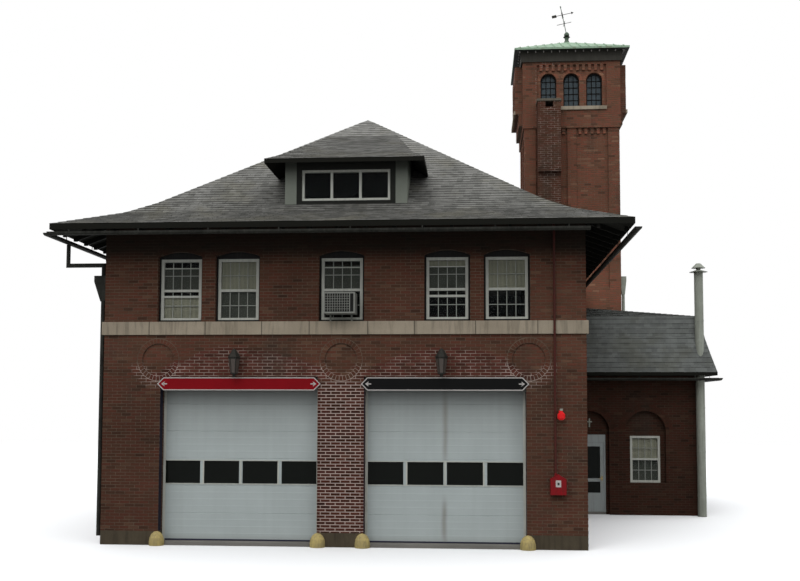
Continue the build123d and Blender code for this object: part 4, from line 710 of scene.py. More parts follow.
# For each side: its middle, the plane of its lookout windows and the windows' places.
lookouts = {}
tower = []
arches = []
for side, (middle, centre) in tower_middle.items():
    seed = 40 + 4 * len(lookouts)
    shaft, belfry = centre + TOWER_HALF, centre + BELFRY_HALF
    panels = [slab(middle + x, PANEL_HALF, PANEL_BASE, BELFRY[0]) for x in (-PANEL_X, PANEL_X)]
    whole = (middle - TOWER_HALF, middle + TOWER_HALF)
    tower.append(lay((side, shaft), whole, (5.4, BELFRY[0]), panels, seed))
    for x in (-PANEL_X, PANEL_X):
        span = (middle + x - PANEL_HALF + CLEAR, middle + x + PANEL_HALF - CLEAR)
        tower.append(lay((side, shaft - PANEL_DEEP), span, (PANEL_BASE, CORBEL_LOW), seed=seed + 1))
    bay = side in ("left", "right")
    panel = slab(middle, *((BELFRY_PANEL[0], BAY_FOOT, BELFRY[1]) if bay else BELFRY_PANEL))
    whole = (middle - BELFRY_HALF, middle + BELFRY_HALF)
    tower.append(lay((side, belfry), whole, BELFRY, [panel], seed + 2))
    face = (side, belfry + BAY_OUT if bay else belfry - PANEL_DEEP)
    places = middle + spread(3, 0.715)
    lookouts[side] = (face, places)
    holes = []
    for x in places:
        holes.append(slab(x, LOOKOUT_HALF, LOOKOUT_SILL - 0.05, LOOKOUT_SPRING))
        holes.append(disc(x, LOOKOUT_SPRING, LOOKOUT_HALF + 0.1 + JOINT, LOOKOUT_SPRING))
        arc = (LOOKOUT_HALF + JOINT / 2, LOOKOUT_HALF + 0.1)
        arches.append(ring(face, x, LOOKOUT_SPRING, arc, 0, 180, 13))
    inner = (middle - BELFRY_PANEL[0] + CLEAR, middle + BELFRY_PANEL[0] - CLEAR)
    tower.append(lay(face, inner, (LOOKOUT_SILL, BELFRY[1]) if bay else LOOKOUT_RISE, holes, seed + 3))
    if bay:
        foot = (side, belfry + BAY_OUT / 2)
        tower.append(lay(foot, inner, (BAY_FOOT, BELFRY_PANEL[1]), seed=seed + 90))
piece("tower_bricks", tower, tower_brick_finish, "brick")
piece("tower_arches", arches, tower_arch_finish, "brick")

CHIMNEY_LEFT, CHIMNEY_RIGHT, CHIMNEY_FRONT, CHIMNEY_BACK = 4.8275, 5.5325, 2.1, 2.7
CHIMNEY_RISES = ((7.0, 10.25), (10.25, 12.46))
STEP_BACK = 0.15
FLUE = slab(5.18, 0.12, 12.27, 12.46)
stack = []
for side in ("front", "left", "right"):
    for step, rise in zip((STEP_BACK, 0), CHIMNEY_RISES):
        face = CHIMNEY_FRONT + step
        distance, span = {
            "front": (-face, (CHIMNEY_LEFT, CHIMNEY_RIGHT)),
            "left": (-CHIMNEY_LEFT, (-CHIMNEY_BACK, -face)),
            "right": (CHIMNEY_RIGHT, (face, CHIMNEY_BACK)),
        }[side]
        stack.append(lay((side, distance), span, rise, [FLUE], 61 + len(stack)))
piece("chimney_bricks", stack, brick_finish, "brick")

# %% [markdown]
# The roofs are covered with asphalt shingles in level courses. A course is a strip of tabs whose
# lower edges stand up on the course below. The roof's own bends are its profile: a height for
# each distance in from the eave, and each tab is laid between two such distances. On a hipped
# slope, each course is shorter than the one below by the same distance at both ends.

# %% Laying shingles
TAB_WIDTH, EXPOSURE = 0.305, 0.14
TAB_BUTT, TAB_TOP, TAB_FOOT = 0.011, 0.002, -0.004
TAB_GAP, TAB_SHORTEST = 0.008, 0.03
SHORTEST_COURSE = 0.06
ROOF_OVERLAP = 0.02


def at_run(profile, run):
    """Height on a profile of (run, rise) corners at each run."""
    runs, rises = np.array(profile, float).T
    return np.interp(run, runs, rises)


def course_edges(profile, run):
    """Runs of the course edges from the eave up, one exposure apart along the slope."""
    fine = np.linspace(0, run, 2000)
    length = np.r_[0, np.cumsum(np.hypot(np.diff(fine), np.diff(at_run(profile, fine))))]
    return np.interp(np.arange(int(length[-1] / EXPOSURE) + 1) * EXPOSURE, length, fine)


def slope(origin, profile, run, wall, span, insets, seed, skip=None):
    """Tabs of one slope as corners: a tab is a wedge between two runs in from the eave, at the
    profile's heights there. insets say how far each end of the course moves in at a run."""
    edges = course_edges(profile, run)
    rng = np.random.default_rng(seed)
    made = []
    for number, (low, high) in enumerate(zip(edges[:-1], edges[1:])):
        start, stop = span[0] + insets[0](low), span[1] - insets[1](low)
        if stop - start < SHORTEST_COURSE:
            continue
        top_start, top_stop = span[0] + insets[0](high), span[1] - insets[1](high)
        cuts = np.arange(math.floor(start / TAB_WIDTH) - 1, math.ceil(stop / TAB_WIDTH) + 2)
        offset = (number % 2) * 0.5 + (number % 7) * 0.07
        left = np.maximum((cuts + offset) * TAB_WIDTH + TAB_GAP / 2, start)
        right = np.minimum((cuts + 1 + offset) * TAB_WIDTH - TAB_GAP / 2, stop)
        keep = right - left > TAB_SHORTEST
        left, right = left[keep], right[keep]
        top_left = np.clip(left, top_start, max(top_start, top_stop))
        top_right = np.clip(right, top_left, max(top_start, top_stop))
        butt = TAB_BUTT * (0.8 + 0.4 * rng.random(len(left)))
        flat = np.zeros_like(left)
        corners = [
            np.stack((x, flat + at_run(profile, edge) + lift, flat - edge), 1)
            for lift_low, lift_high in ((TAB_FOOT, TAB_FOOT), (butt, TAB_TOP))
            for x, edge, lift in (
                (left, low, lift_low), (right, low, lift_low),
                (top_right, high, lift_high), (top_left, high, lift_high),
            )
        ]
        made.append(np.stack(corners, 1))
    points = on_wall(wall, np.concatenate(made)) + np.array(origin)
    return points[~skip(points.mean(axis=1))] if skip else points


def hipped(run):
    """A hip in the corner between two like slopes moves in as far as the run."""
    return run


def square(run):
    """An end that doesn't move in."""
    return 0.0


def inside(points, x, y):
    """Whether each point lies between two Xs and two Ys."""
    return (points[:, 0] > x[0]) & (points[:, 0] < x[1]) & (points[:, 1] > y[0]) & (points[:, 1] < y[1])


print("tabs", TAB_WIDTH, "m wide,", EXPOSURE, "m exposed")

# %% [markdown]
# The main roof is flared at its eaves and hipped on all four sides. The dormer's roof dies into
# its front slope, so its sides have another profile than its front, and the corner between them
# is where both reach the same height. The wing's roof is almost a wall at its foot. Tabs that
# would stand inside the tower, the chimney or the dormer, or under the main roof, are left out.

# %% Shingles of the three roofs
EAVE = 6.84
ROOF_X, ROOF_Y = 6.13, 8.41
MAIN_PROFILE = ((0, 0), (1.2, 0.45), (1.75, 0.76), (7.75, 5.008))
DORMER_FRONT, DORMER_EDGE, DORMER_EAVE, DORMER_HALF = -6.85, -7.25, 8.45, 1.375
DORMER_OUT, DORMER_RUN, DORMER_SLOPE = 1.775, 4.05, 0.393
DORMER_FOOT, DORMER_PITCH = 7.49, 0.38
DORMER_BACK = DORMER_FRONT + (DORMER_EAVE - DORMER_FOOT) / DORMER_PITCH
DORMER_FRONT_STOP, DORMER_SIDE_STOP = 4.02, 0.92
DORMER_HIP = ((0, 0), (0.3, 0.25), (0.935, 1.592))
DORMER_PROFILE = ((0, 0), (DORMER_RUN, DORMER_RUN * DORMER_SLOPE))
WING_PROFILE = ((0, 0), (0.15, 0.51), (0.275, 0.97), (0.378, 1.565), (3.95, 2.22))
WING_OUT_X, WING_OUT_Y = 4.25, 3.95
WING_MIDDLE = (5.22, 3.1, 3.93)
TOWER_CLEAR = 1.45
CHIMNEY_CLEAR = ((4.85, 5.5), (2.28, 2.8))


def in_dormer(points):
    """Where the main roof's tabs would stand inside the dormer."""
    return inside(points, (-DORMER_HALF, DORMER_HALF), (DORMER_FRONT + 0.05, DORMER_BACK))


def in_tower(points):
    """Where tabs would stand inside the tower."""
    x, y = ((middle - TOWER_CLEAR, middle + TOWER_CLEAR) for middle in (TOWER_X, TOWER_Y))
    return inside(points, x, y)


def in_stacks(points):
    """Where they would stand inside the tower or the chimney."""
    return in_tower(points) | inside(points, *CHIMNEY_CLEAR)


def in_roof(points):
    """Where the dormer's tabs would lie under the main roof."""
    return points[:, 2] < EAVE + at_run(MAIN_PROFILE, points[:, 1] + ROOF_Y) - ROOF_OVERLAP


def dormer_front(run):
    """How far in the dormer's side slope reaches the height that its front has at a run."""
    runs, rises = np.array(DORMER_HIP).T
    return float(np.interp(run * DORMER_SLOPE, rises, runs))


def dormer_side(run):
    """How far back the dormer's front slope reaches the height that its side has at a run."""
    return float(at_run(DORMER_HIP, run)) / DORMER_SLOPE


middle = (0, 0, EAVE)
main_tabs = [
    slope(middle, MAIN_PROFILE, ROOF_X, (side, out), (-half, half), (hipped, hipped), seed, skip)
    for side, half, out, seed, skip in (
        ("front", ROOF_X, ROOF_Y, 70, in_dormer),
        ("right", ROOF_Y, ROOF_X, 71, in_stacks),
        ("back", ROOF_X, ROOF_Y, 72, None),
        ("left", ROOF_Y, ROOF_X, 73, None),
    )
]
middle = (0, 0, DORMER_EAVE)
dormer_end = DORMER_EDGE + DORMER_RUN
dormer_tabs = [
    slope(middle, profile, run, wall, span, insets, seed, in_roof)
    for profile, run, wall, span, insets, seed in (
        (DORMER_PROFILE, DORMER_FRONT_STOP, ("front", -DORMER_EDGE), (-DORMER_OUT, DORMER_OUT),
         (dormer_front, dormer_front), 75),
        (DORMER_HIP, DORMER_SIDE_STOP, ("right", DORMER_OUT), (DORMER_EDGE, dormer_end),
         (dormer_side, square), 76),
        (DORMER_HIP, DORMER_SIDE_STOP, ("left", DORMER_OUT), (-dormer_end, -DORMER_EDGE),
         (square, dormer_side), 77),
    )
]
wing_tabs = [
    slope(WING_MIDDLE, WING_PROFILE, WING_OUT_Y, (side, out), span, insets, seed, in_tower)
    for side, out, span, insets, seed in (
        ("front", WING_OUT_Y, (0, WING_OUT_X), (square, hipped), 80),
        ("right", WING_OUT_X, (-WING_OUT_Y, WING_OUT_Y), (hipped, hipped), 81),
        ("back", WING_OUT_Y, (-WING_OUT_X, 0), (hipped, square), 82),
    )
]

UNDERSIDE = (0.009, 0.009, 0.007)


def shingles(name, dark, pale, moss, main=1.0):
    """Weathered asphalt shingles: each tab its own grey, streaked down the slope by rain, and
    near-black where the roof's solid faces down or sideways. The main roofs darken to the eave."""
    paint = Finish(name)
    side = paint.sideways(0.35)
    along = paint.x * (1 - side) + paint.y * side
    across = paint.y * (1 - side) + paint.x * side
    course = (across / 0.115).floor() + (paint.z / 0.09).floor() * 31
    tone = paint.chance((along / (TAB_WIDTH / 2) + course * 0.37).floor(), course, side)
    cloud = paint.noise(0.35, 4, 0.6)
    grain = paint.noise(55, 3, 0.7)
    streak = paint.noise(1.6, 3, 0.6, paint.stretched(2.2, 0.25, 0.25))
    level = 0.55 + (tone - 0.5) * 0.45 + (cloud - 0.5) * 0.7 + (grain - 0.5) * 0.7 + (streak - 0.5) * 0.6
    level = level + paint.z.over(9.4, 1.2) * 0.12 * main
    colour = paint.mix(level - (1 - paint.z.over(8.2, 1.3)) * 0.42 * main, dark, pale)
    colour = paint.mix(paint.noise(0.8, 5, 0.65).over(0.57, 0.1) * 0.5, colour, moss)
    colour = paint.mix(paint.facing("Z").over(0.12, 0.02), UNDERSIDE, colour)
    return paint.done(colour, 0.9 + (grain - 0.5) * 0.1, 0.08, grain, 0.002, 0.8)


main_shingles = shingles("main_shingles", (0.075, 0.074, 0.068), (0.235, 0.23, 0.214), (0.13, 0.122, 0.092))
wing_shingles = shingles(
    "wing_shingles", (0.064, 0.067, 0.065), (0.15, 0.158, 0.149), (0.085, 0.085, 0.066), 0.0
)
piece("main_roof_shingles", main_tabs, main_shingles, "roof_shingles")
piece("dormer_shingles", dormer_tabs, main_shingles, "roof_shingles")
piece("wing_shingles", wing_tabs, wing_shingles, "roof_shingles")

# %% [markdown]
# The finishes of everything else. Paint on a fire station is washed and weathered: the white
# doors carry rain streaks and a rust run, the trim under the eaves is almost black, the tower's
# copper has turned green with brown where water drips, and galvanised sheet is dull and mottled.

# %% Painted, metal and stone finishes
DOOR_RIB = 0.1479
STONE_JOINTS = (-5.265, -4.208, -2.967, -1.726, -0.688, 0.580, 1.580, 2.885, 4.201, 5.265)


def weathered(name, colour, worn, share=0.3, rough=0.6, metal=0.0, scale=2.0, bump=0.3, streaks=0.35,
              shine=0.12, above=None):
    """A coat with clouds of wear, streaks that run down, and fine grain. above is a height and
    the colour over it, for a node of two colours."""
    paint = Finish(name)
    cloud = paint.noise(scale, 5, 0.65)
    drip = paint.noise(scale * 1.5, 4, 0.6, paint.stretched(4, 4, 0.35))
    grain = paint.noise(90, 3, 0.6)
    patch = cloud.over(0.68 - share * 0.5, 0.16) * share + drip.over(0.55, 0.12) * streaks
    if above:
        colour = paint.mix(paint.z.over(above[0]), colour, above[1])
    body = paint.tint(colour, 0.88 + cloud * 0.18 + (grain - 0.5) * 0.12)
    paint.wear(Metallic=metal)
    colour = paint.mix(patch, body, worn)
    return paint.done(colour, rough + (cloud - 0.5) * 0.2, shine, grain * 0.5 + cloud, 0.0015, bump)


def door_paint():
    """White door sections: faint ribs with a painted highlight, streaks, darker towards the top under the
    sign, and rust down the right door.
    """
    paint = Finish("door_paint")
    cloud = paint.noise(1.4, 4, 0.6)
    drip = paint.noise(1.1, 3, 0.5, paint.stretched(5, 1, 0.3))
    grain = paint.noise(120, 2)
    place = paint.z / DOOR_RIB
    # A band on each rib: it makes the rib's bump and, in the colour, a faint painted highlight.
    rib_and_highlight = (place - place.floor()).between(0.42, 0.58, 0.08)
    colour = paint.tint((0.360, 0.398, 0.390), 1.0 + (cloud - 0.5) * 0.20 + (grain - 0.5) * 0.06 + rib_and_highlight * 0.05)
    # Darker towards the top of the doors, under the sign.
    top = paint.z.over(2.7, 0.9) * 0.52 + paint.z.over(3.3, 0.25) * 0.25 + drip.over(0.56, 0.2) * 0.08
    run = paint.x + (paint.noise(1.2, 2, 0.5, paint.stretched(0.2, 0.2, 1.0)) - 0.5) * 0.1
    reach = paint.z.between(0.1, 0.95, 0.25) + paint.z.between(1.8, 3.2, 0.3) * 0.7
    rust = run.between(2.17, 2.26, 0.05) * (drip * 0.5 + 0.25) * reach
    splash = (1 - paint.z.over(0.16, 0.1)) * 0.3
    seal = 1 - paint.z.over(0.105, 0.002)
    colour = paint.layers(
        colour, (top, (0.165, 0.17, 0.156)), (rust, (0.115, 0.085, 0.05)),
        (splash, (0.12, 0.115, 0.1)), (seal, (0.012, 0.012, 0.03)),
    )
    return paint.done(colour, 0.42 + (cloud - 0.5) * 0.2, 0.25, cloud * 0.5 + rib_and_highlight, 0.004, 0.3)


def limestone():
    """Belt stones: clouded buff, dark at the joints and streaked by rain."""
    paint = Finish("limestone")
    cloud = paint.noise(1.2, 5, 0.65)
    grain = paint.noise(60, 4, 0.7)
    drip = paint.noise(2.0, 4, 0.6, paint.stretched(5, 5, 0.5))
    colour = paint.mix(cloud, (0.225, 0.188, 0.136), (0.46, 0.392, 0.300))
    colour = paint.mix(drip.over(0.56, 0.1) * 0.45, colour, (0.135, 0.115, 0.085))
    colour = paint.tint(colour, 0.9 + (grain - 0.5) * 0.5)
    dirt = sum(paint.x.between(cut - 0.010, cut + 0.010, 0.006) for cut in STONE_JOINTS[1:-1])
    on_front = (1 - paint.y.over(-7.4)) * paint.z.between(4.0, 5.0)
    colour = paint.mix(dirt * on_front * 0.8, colour, (0.045, 0.037, 0.028))
    return paint.done(colour, 0.85 + grain * 0.1, 0.1, grain + cloud, 0.003, 0.4)


def copper_green():
    """Patina, paler on the slope and dull on the finial, with brown bleeding down from the seams."""
    paint = Finish("copper_patina")
    cloud = paint.noise(2.2, 5, 0.65)
    fine = paint.noise(25, 3)
    drip = paint.noise(3.0, 3, 0.5, paint.stretched(3, 3, 0.6))
    colour = paint.mix(cloud, (0.200, 0.300, 0.215), (0.315, 0.430, 0.310))
    finial = paint.z.over(15.02, 0.02) * 0.85
    colour = paint.layers(
        colour, (drip.over(0.6, 0.08) * 0.5, (0.13, 0.115, 0.07)), (finial, (0.062, 0.08, 0.062))
    )
    colour = paint.mix(paint.facing("Z").over(-0.5, 0.05), (0.02, 0.021, 0.018), colour)
    return paint.done(colour, 0.75 + (fine - 0.5) * 0.3, 0.15, cloud + fine * 0.3, 0.003, 0.3)


def dormer_paint():
    """Grey-green corner posts, with the wall between them in the trim's near-black, and painted shade at
    their top, under the dormer's eave.
    """
    paint = Finish("dormer_green")
    cloud = paint.noise(2.5, 5, 0.65)
    grain = paint.noise(90, 3, 0.6)
    colour = paint.tint((0.165, 0.178, 0.150), 0.8 + cloud * 0.35 + (grain - 0.5) * 0.15)
    # Painted shade, darker from 8.25 m up, under the dormer's eave.
    shade = paint.z.over(8.25, 0.12) * 0.6
    middle = paint.x.between(-1.115, 1.115) * (1 - paint.y.over(-6.70))
    colour = paint.layers(colour, (shade, (0.03, 0.032, 0.027)), (middle, (0.0115, 0.012, 0.01)))
    return paint.done(colour, 0.6 + (cloud - 0.5) * 0.2, 0.08, grain * 0.5 + cloud)


def pane(name, alpha, colour, shine):
    """Window glass: dark inside, smooth outside, partly seen through; on the tower it is painted a paler
    blue-grey and more solid, a painted reflection of the sky.
    """
    paint = Finish(name)
    smear = paint.noise(3.0, 3)
    # Above 11 m, on the tower, the glass is painted paler and more solid: a painted reflection of the sky.
    high = paint.z.over(11.0)
    shade = paint.mix(high, colour, (0.060, 0.078, 0.088))
    paint.wear(Alpha=high * (1 - alpha) * 0.8 + alpha)
    return paint.done(paint.tint(shade, 0.8 + smear * 0.4), 0.08 + smear * 0.08, shine)


def sign_paint():
    """Red enamel on the left board, black on the right one."""
    paint = Finish("sign_boards")
    cloud = paint.noise(3.0, 4)
    colour = paint.mix(paint.x.over(0.0), (0.185, 0.0030, 0.0065), (0.0035, 0.0035, 0.0035))
    return paint.done(paint.tint(colour, 0.8 + cloud * 0.4), 0.45 + (cloud - 0.5) * 0.2, 0.06)


def pleated(name, colour, width, depth=0.3):
    """A curtain or window shade, with folds that run down; the folds' light and shade are painted as stripes
    on a flat board.
    """
    paint = Finish(name)
    place = (paint.x + paint.y + (paint.noise(3.0, 2) - 0.5) * 0.05) / width
    # The light and shade of the folds, painted in stripes.
    fold_shade = place.maths("SINE", place * 6.283)
    cloud = paint.noise(1.5, 4)
    colour = paint.tint(colour, 0.85 + fold_shade * depth * 0.5 + (cloud - 0.5) * 0.5)
    return paint.done(colour, 0.9 + cloud * 0.05, 0.05)


def boards(name, dark, pale, width):
    """Boards side by side across X, each its own brown with grain along Y."""
    paint = Finish(name)
    place = paint.x / width
    board = place.floor()
    tone = paint.node("TexWhiteNoise", {"W": board}, "Value", noise_dimensions="1D")
    grain = paint.noise(9, 5, 0.65, paint.stretched(6, 0.6, 6))
    colour = paint.mix(tone * 0.6 + grain * 0.4, dark, pale)
    seam = (place - board).between(0.03, 0.97, 0.02)
    colour = paint.tint(colour, 0.35 + seam * 0.65)
    return paint.done(colour, 0.7 + (grain - 0.5) * 0.2, 0.5, seam + grain * 0.2, 0.003, 0.5)


print("belt stones:", len(STONE_JOINTS) - 1, "door rib", DOOR_RIB, "m")

# %% [markdown]
# Every finish goes on the CAD nodes named beside it; those with none beside them are for the
# pieces that follow. Most are one kind of coat, with its colour, what it wears down to, how
# much of it is worn, its roughness and the size of its clouds.

# %% Finishes of the CAD nodes
bare = set(nodes)


def dress(finish, names):
    """Puts a finish on these CAD nodes."""
    for name in names.split():
        nodes[name].data.materials.clear()
        nodes[name].data.materials.append(finish)
        bare.discard(name)


dress(wall_finish, "front_piers front_spandrel front_upper_wall left_wall right_wall back_wall chimney")
dress(wall_finish, "wing_wall_left_of_door wing_wall_right_of_door wing_wall_over_door wing_side_wall")
dress(wall_finish, "wing_back_wall")
dress(tower_wall_finish, "tower_shaft tower_belfry tower_corbels tower_side_bays")
dress(main_shingles, "dormer_roof main_roof")
dress(wing_shingles, "wing_roof")
dress(door_paint(), "bay_door_left bay_door_right")
dress(limestone(), "belt_course tower_sills")
dress(copper_green(), "tower_roof tower_finial")
dress(sign_paint(), "sign_boards")
dress(dormer_paint(), "dormer_walls")
dress(boards("floor_boards", (0.1, 0.06, 0.035), (0.19, 0.12, 0.07), 0.12), "upper_floors")
dress(pane("window_pane", 0.22, (0.01, 0.012, 0.012), 0.12), "window_glass")
# The doors' glass is near-black and almost solid: painted shade standing for the dark room behind it.
dress(pane("interior_shade_pane", 0.97, (0.0042, 0.0052, 0.004), 0.05), "bay_door_glass entrance_door_glass")
pleated("cream_curtain", (0.6, 0.6, 0.44), 0.09, 0.12)
pleated("grey_shade", (0.14, 0.15, 0.122), 0.6, 0.1)
pleated("door_curtain", (0.16, 0.18, 0.17), 0.1)
for name, dressed, colour, worn, share, rough, scale, more in (
    ("stained_concrete", "pier_bases", (0.1, 0.08, 0.052), (0.04, 0.032, 0.022), 0.6, 0.9, 1.6, {}),
    ("floor_concrete", "ground_floor", (0.2, 0.19, 0.17), (0.1, 0.095, 0.085), 0.5, 0.8, 0.8, {"streaks": 0}),
    ("sash_white", "window_sashes dormer_window", (0.47, 0.475, 0.425), (0.27, 0.27, 0.235), 0.25, 0.5, 5,
     {}),
    ("sash_bars", "", (0.31, 0.322, 0.285), (0.21, 0.218, 0.19), 0.25, 0.5, 5, {}),
    ("dark_surround", "window_surrounds tower_windows", (0.01, 0.01, 0.01), (0.022, 0.02, 0.018), 0.3, 0.6, 4,
     {"shine": 0.05}),
    ("frieze_boards", "tower_frieze", (0.045, 0.043, 0.036), (0.066, 0.062, 0.053), 0.3, 0.6, 4,
     {"shine": 0.05}),
    ("green_black_trim", "rafter_tails", (0.006, 0.006, 0.005), (0.014, 0.0135, 0.011), 0.35, 0.65, 3,
     {"shine": 0.04}),
    ("galvanised_sheet", "exhaust_duct tower_downspout", (0.315, 0.335, 0.285), (0.19, 0.197, 0.165), 0.5,
     0.5, 3.5, {"metal": 0.1}),
    ("gutter_sheet", "gutters left_downspout", (0.018, 0.018, 0.0155), (0.055, 0.056, 0.048), 0.4, 0.6, 3,
     {"shine": 0.06}),
    ("black_iron", "compass_arms weather_vane wall_lanterns", (0.018, 0.02, 0.018), (0.045, 0.036, 0.028),
     0.35, 0.55, 9, {"metal": 0.1, "shine": 0.08}),
    ("yellow_guard", "wheel_guards", (0.46, 0.36, 0.135), (0.19, 0.16, 0.09), 0.45, 0.75, 7, {}),
    ("red_enamel", "alarm_box", (0.215, 0.006, 0.01), (0.09, 0.012, 0.011), 0.35, 0.4, 9,
     {"shine": 0.08, "above": (1.60, (0.05, 0.019, 0.014))}),
    ("lamp_glass", "red_lamp", (0.42, 0.008, 0.01), (0.3, 0.01, 0.01), 0.2, 0.3, 9, {"shine": 0.1}),
    ("sign_white", "", (0.46, 0.43, 0.41), (0.32, 0.3, 0.28), 0.25, 0.4, 4, {"bump": 0.1}),
    ("cooler_case", "air_conditioner", (0.25, 0.256, 0.23), (0.15, 0.148, 0.13), 0.35, 0.6, 7, {}),
    ("lantern_glass", "", (0.07, 0.056, 0.048), (0.036, 0.03, 0.026), 0.3, 0.35, 9, {"shine": 0.2}),
    ("cooler_fins", "", (0.012, 0.012, 0.011), (0.02, 0.02, 0.018), 0.3, 0.6, 9, {"shine": 0.05}),
    ("storm_door_white", "entrance_frame entrance_door", (0.325, 0.355, 0.35), (0.22, 0.22, 0.2), 0.25, 0.45,
     3, {}),
    ("brass_handle", "entrance_door_handle", (0.35, 0.27, 0.12), (0.16, 0.12, 0.06), 0.4, 0.35, 20,
     {"metal": 0.9}),
    ("cap_stone", "chimney_cap", (0.145, 0.128, 0.098), (0.07, 0.062, 0.05), 0.5, 0.9, 6, {}),
):
    dress(weathered(name, colour, worn, share, rough, scale=scale, **more), dressed)
lamp = finishes["lamp_glass"].node_tree.nodes["Principled BSDF"]
lamp.inputs["Emission Color"].default_value = (0.9, 0.02, 0.02, 1)
lamp.inputs["Emission Strength"].default_value = 0.25
print(len(finishes), "finishes; nodes with none:", sorted(bare))

# %% [markdown]
# Windows are double-hung, each sash with four lights across and two up. The bars stand on the
# outside of the glass. What hangs behind each window differs: on the front, curtains and shades
# are where the photograph shows them, and the other sides take turns with the same kinds.

# %% Window bars, curtains and shades
BAR = 0.016
GLASS_SET, SHADE_SET = 0.161, 0.185
SASH, WING_SASH = (0.90, 1.385), (0.82, 1.290)
STILE, RAIL = 0.062, 0.055
# Half width, foot and top over the sill, and front, of the strips at a window's foot.
SILL_STRIP, BOTTOM_RAIL, STRIP_BACK = (0.46, 0, 0.045, -0.108), (0.448, 0.045, 0.092, -0.112), -0.121
WING_FACE_OUT = 0.01
LATTICE_HALF, LATTICE_RISE, LATTICE_BAR, LATTICE_SET = 0.21, (0.04, 1.05), 0.026, (-0.139, -0.125)
HEAD_RING, HEAD_SET, HEAD_THICK = (0.045, 0.001), 0.108, 0.029
# Rows of front window, sash (0 lower, 1 upper) and, for a part of its light, two heights.
FRONT_HANGINGS = {
    "cream": ((0, 0, 4.88, 5.355), (1, 1), (3, 1, 6.01, 6.12), (4, 1)),
    "grey": ((0, 1, 5.56, 6.0), (1, 0), (2, 1, 5.56, 6.03), (3, 1, 5.56, 5.98)),
}
FRONT_RAILS = (
    (0, 0, 5.355, 5.40), (3, 0, 5.34, 5.39), (0, 1, 5.99, 6.012), (2, 1, 5.99, 6.012), (3, 1, 5.99, 6.012)
)
HANGING_FINISH = {"cream": "cream_curtain", "grey": "grey_shade"}
HANGING_TURNS = (("cream", "grey"), ("cream", None), ("grey", "grey"), ("cream", "cream"), (None, "grey"))


def sash_lights(x, sill, size):
    """The lower and the upper glazed light of a window, as (left, right, low, high)."""
    high = (size[1] - 2 * STILE - RAIL) / 2
    left, right = x - size[0] / 2 + STILE, x + size[0] / 2 - STILE
    low = sill + STILE
    return (left, right, low, low + high), (left, right, low + high + RAIL, low + 2 * high + RAIL)


def front_light(window, sash, *heights):
    """A light of a front window, or the part of it between two heights."""
    light = sash_lights(FRONT_WINDOWS[window], BELT[1], SASH)[sash]
    return light[:2] + (heights or light[2:])


def bars(wall, light, columns, rows, width, back, front):
    """The bars that divide a light, between two depths."""
    left, right, low, high = light
    across = left + (right - left) * np.arange(1, columns) / columns
    up = low + (high - low) * np.arange(1, rows) / rows
    lows = [(x - width / 2, low, back) for x in across] + [(left, z - width / 2, back) for z in up]
    highs = [(x + width / 2, high, front) for x in across] + [(right, z + width / 2, front) for z in up]
    return box(wall, lows, highs)


def hanging(wall, light, overlap=0.012, thick=0.004):
    """A thin board behind a light."""
    left, right, low, high = light
    foot = (left - overlap, low - overlap, -SHADE_SET - thick)
    return box(wall, foot, (right + overlap, high + overlap, -SHADE_SET))


hung = {key: [hanging(FRONT, front_light(*row)) for row in rows] for key, rows in FRONT_HANGINGS.items()}
rails = []
for row in FRONT_RAILS:
    left, right, low, high = front_light(*row)
    rails.append(box(FRONT, (left, low, -GLASS_SET + 0.001), (right, high, -GLASS_SET + 0.025)))
window_rows = [(FRONT, FRONT_WINDOWS, BELT[1], SASH), (RIGHT, RIGHT_WINDOWS, BELT[1], SASH)]
for sill in (LOWER_SILL, BELT[1]):
    window_rows += [(LEFT, LEFT_WINDOWS, sill, SASH), (BACK, BACK_WINDOWS, sill, SASH)]
for side, distance in (("front", -WING_FRONT), ("right", WING_RIGHT), ("back", WING_BACK)):
    window_rows.append(((side, distance + WING_FACE_OUT), WING_WINDOWS[side], WING_SILL, WING_SASH))
window_bars = []
sills = []
bottom_rails = []
for number, (wall, places, sill, size) in enumerate(window_rows):
    for place, x in enumerate(places):
        lights = sash_lights(x, sill, size)
        for light in lights:
            window_bars.append(bars(wall, light, 4, 2, BAR, -GLASS_SET + 0.001, -GLASS_SET + 0.012))
        if wall != FRONT:
            for light, key in zip(lights[::-1], HANGING_TURNS[(number + 2 * place - 1) % len(HANGING_TURNS)]):
                if key:
                    hung[key].append(hanging(wall, light))
    if size == SASH:
        for made, (half, low, high, front) in ((sills, SILL_STRIP), (bottom_rails, BOTTOM_RAIL)):
            made.append(in_row(wall, places, half, (sill + low, STRIP_BACK), (sill + high, front)))
piece("sill_strips", sills, finishes["dark_surround"], "dark_trim")
piece("bottom_rails", bottom_rails, finishes["sash_white"], "white_paint")
piece("window_bars", window_bars, finishes["sash_bars"], "white_paint")
piece("extra_rails", rails, finishes["sash_white"], "white_paint")
for key, groups in hung.items():
    piece(key + "_hangings", groups, finishes[HANGING_FINISH[key]], "beige_plastic")

lattices = []
heads = []
for face, places in lookouts.values():
    for x in places:
        light = (x - LATTICE_HALF, x + LATTICE_HALF, *(LOOKOUT_SILL + rise for rise in LATTICE_RISE))
        lattices.append(bars(face, light, 3, 5, LATTICE_BAR, *LATTICE_SET))
        arc = [LOOKOUT_HALF - inset for inset in HEAD_RING]
        set_back = (face[0], face[1] - HEAD_SET)
        heads.append(ring(set_back, x, LOOKOUT_SPRING, arc, 0, 180, 12, HEAD_THICK))
piece("tower_window_bars", lattices, finishes["dark_surround"], "dark_trim")
piece("tower_window_heads", heads, finishes["dark_surround"], "dark_trim")

# %% [markdown]
# The belt course is cut stones, with their joints where the photograph shows them. The sign
# boards have white edges and a small arrow at each end, and are plain between them. The vehicle
# doors have trim round them and about their row of windows.

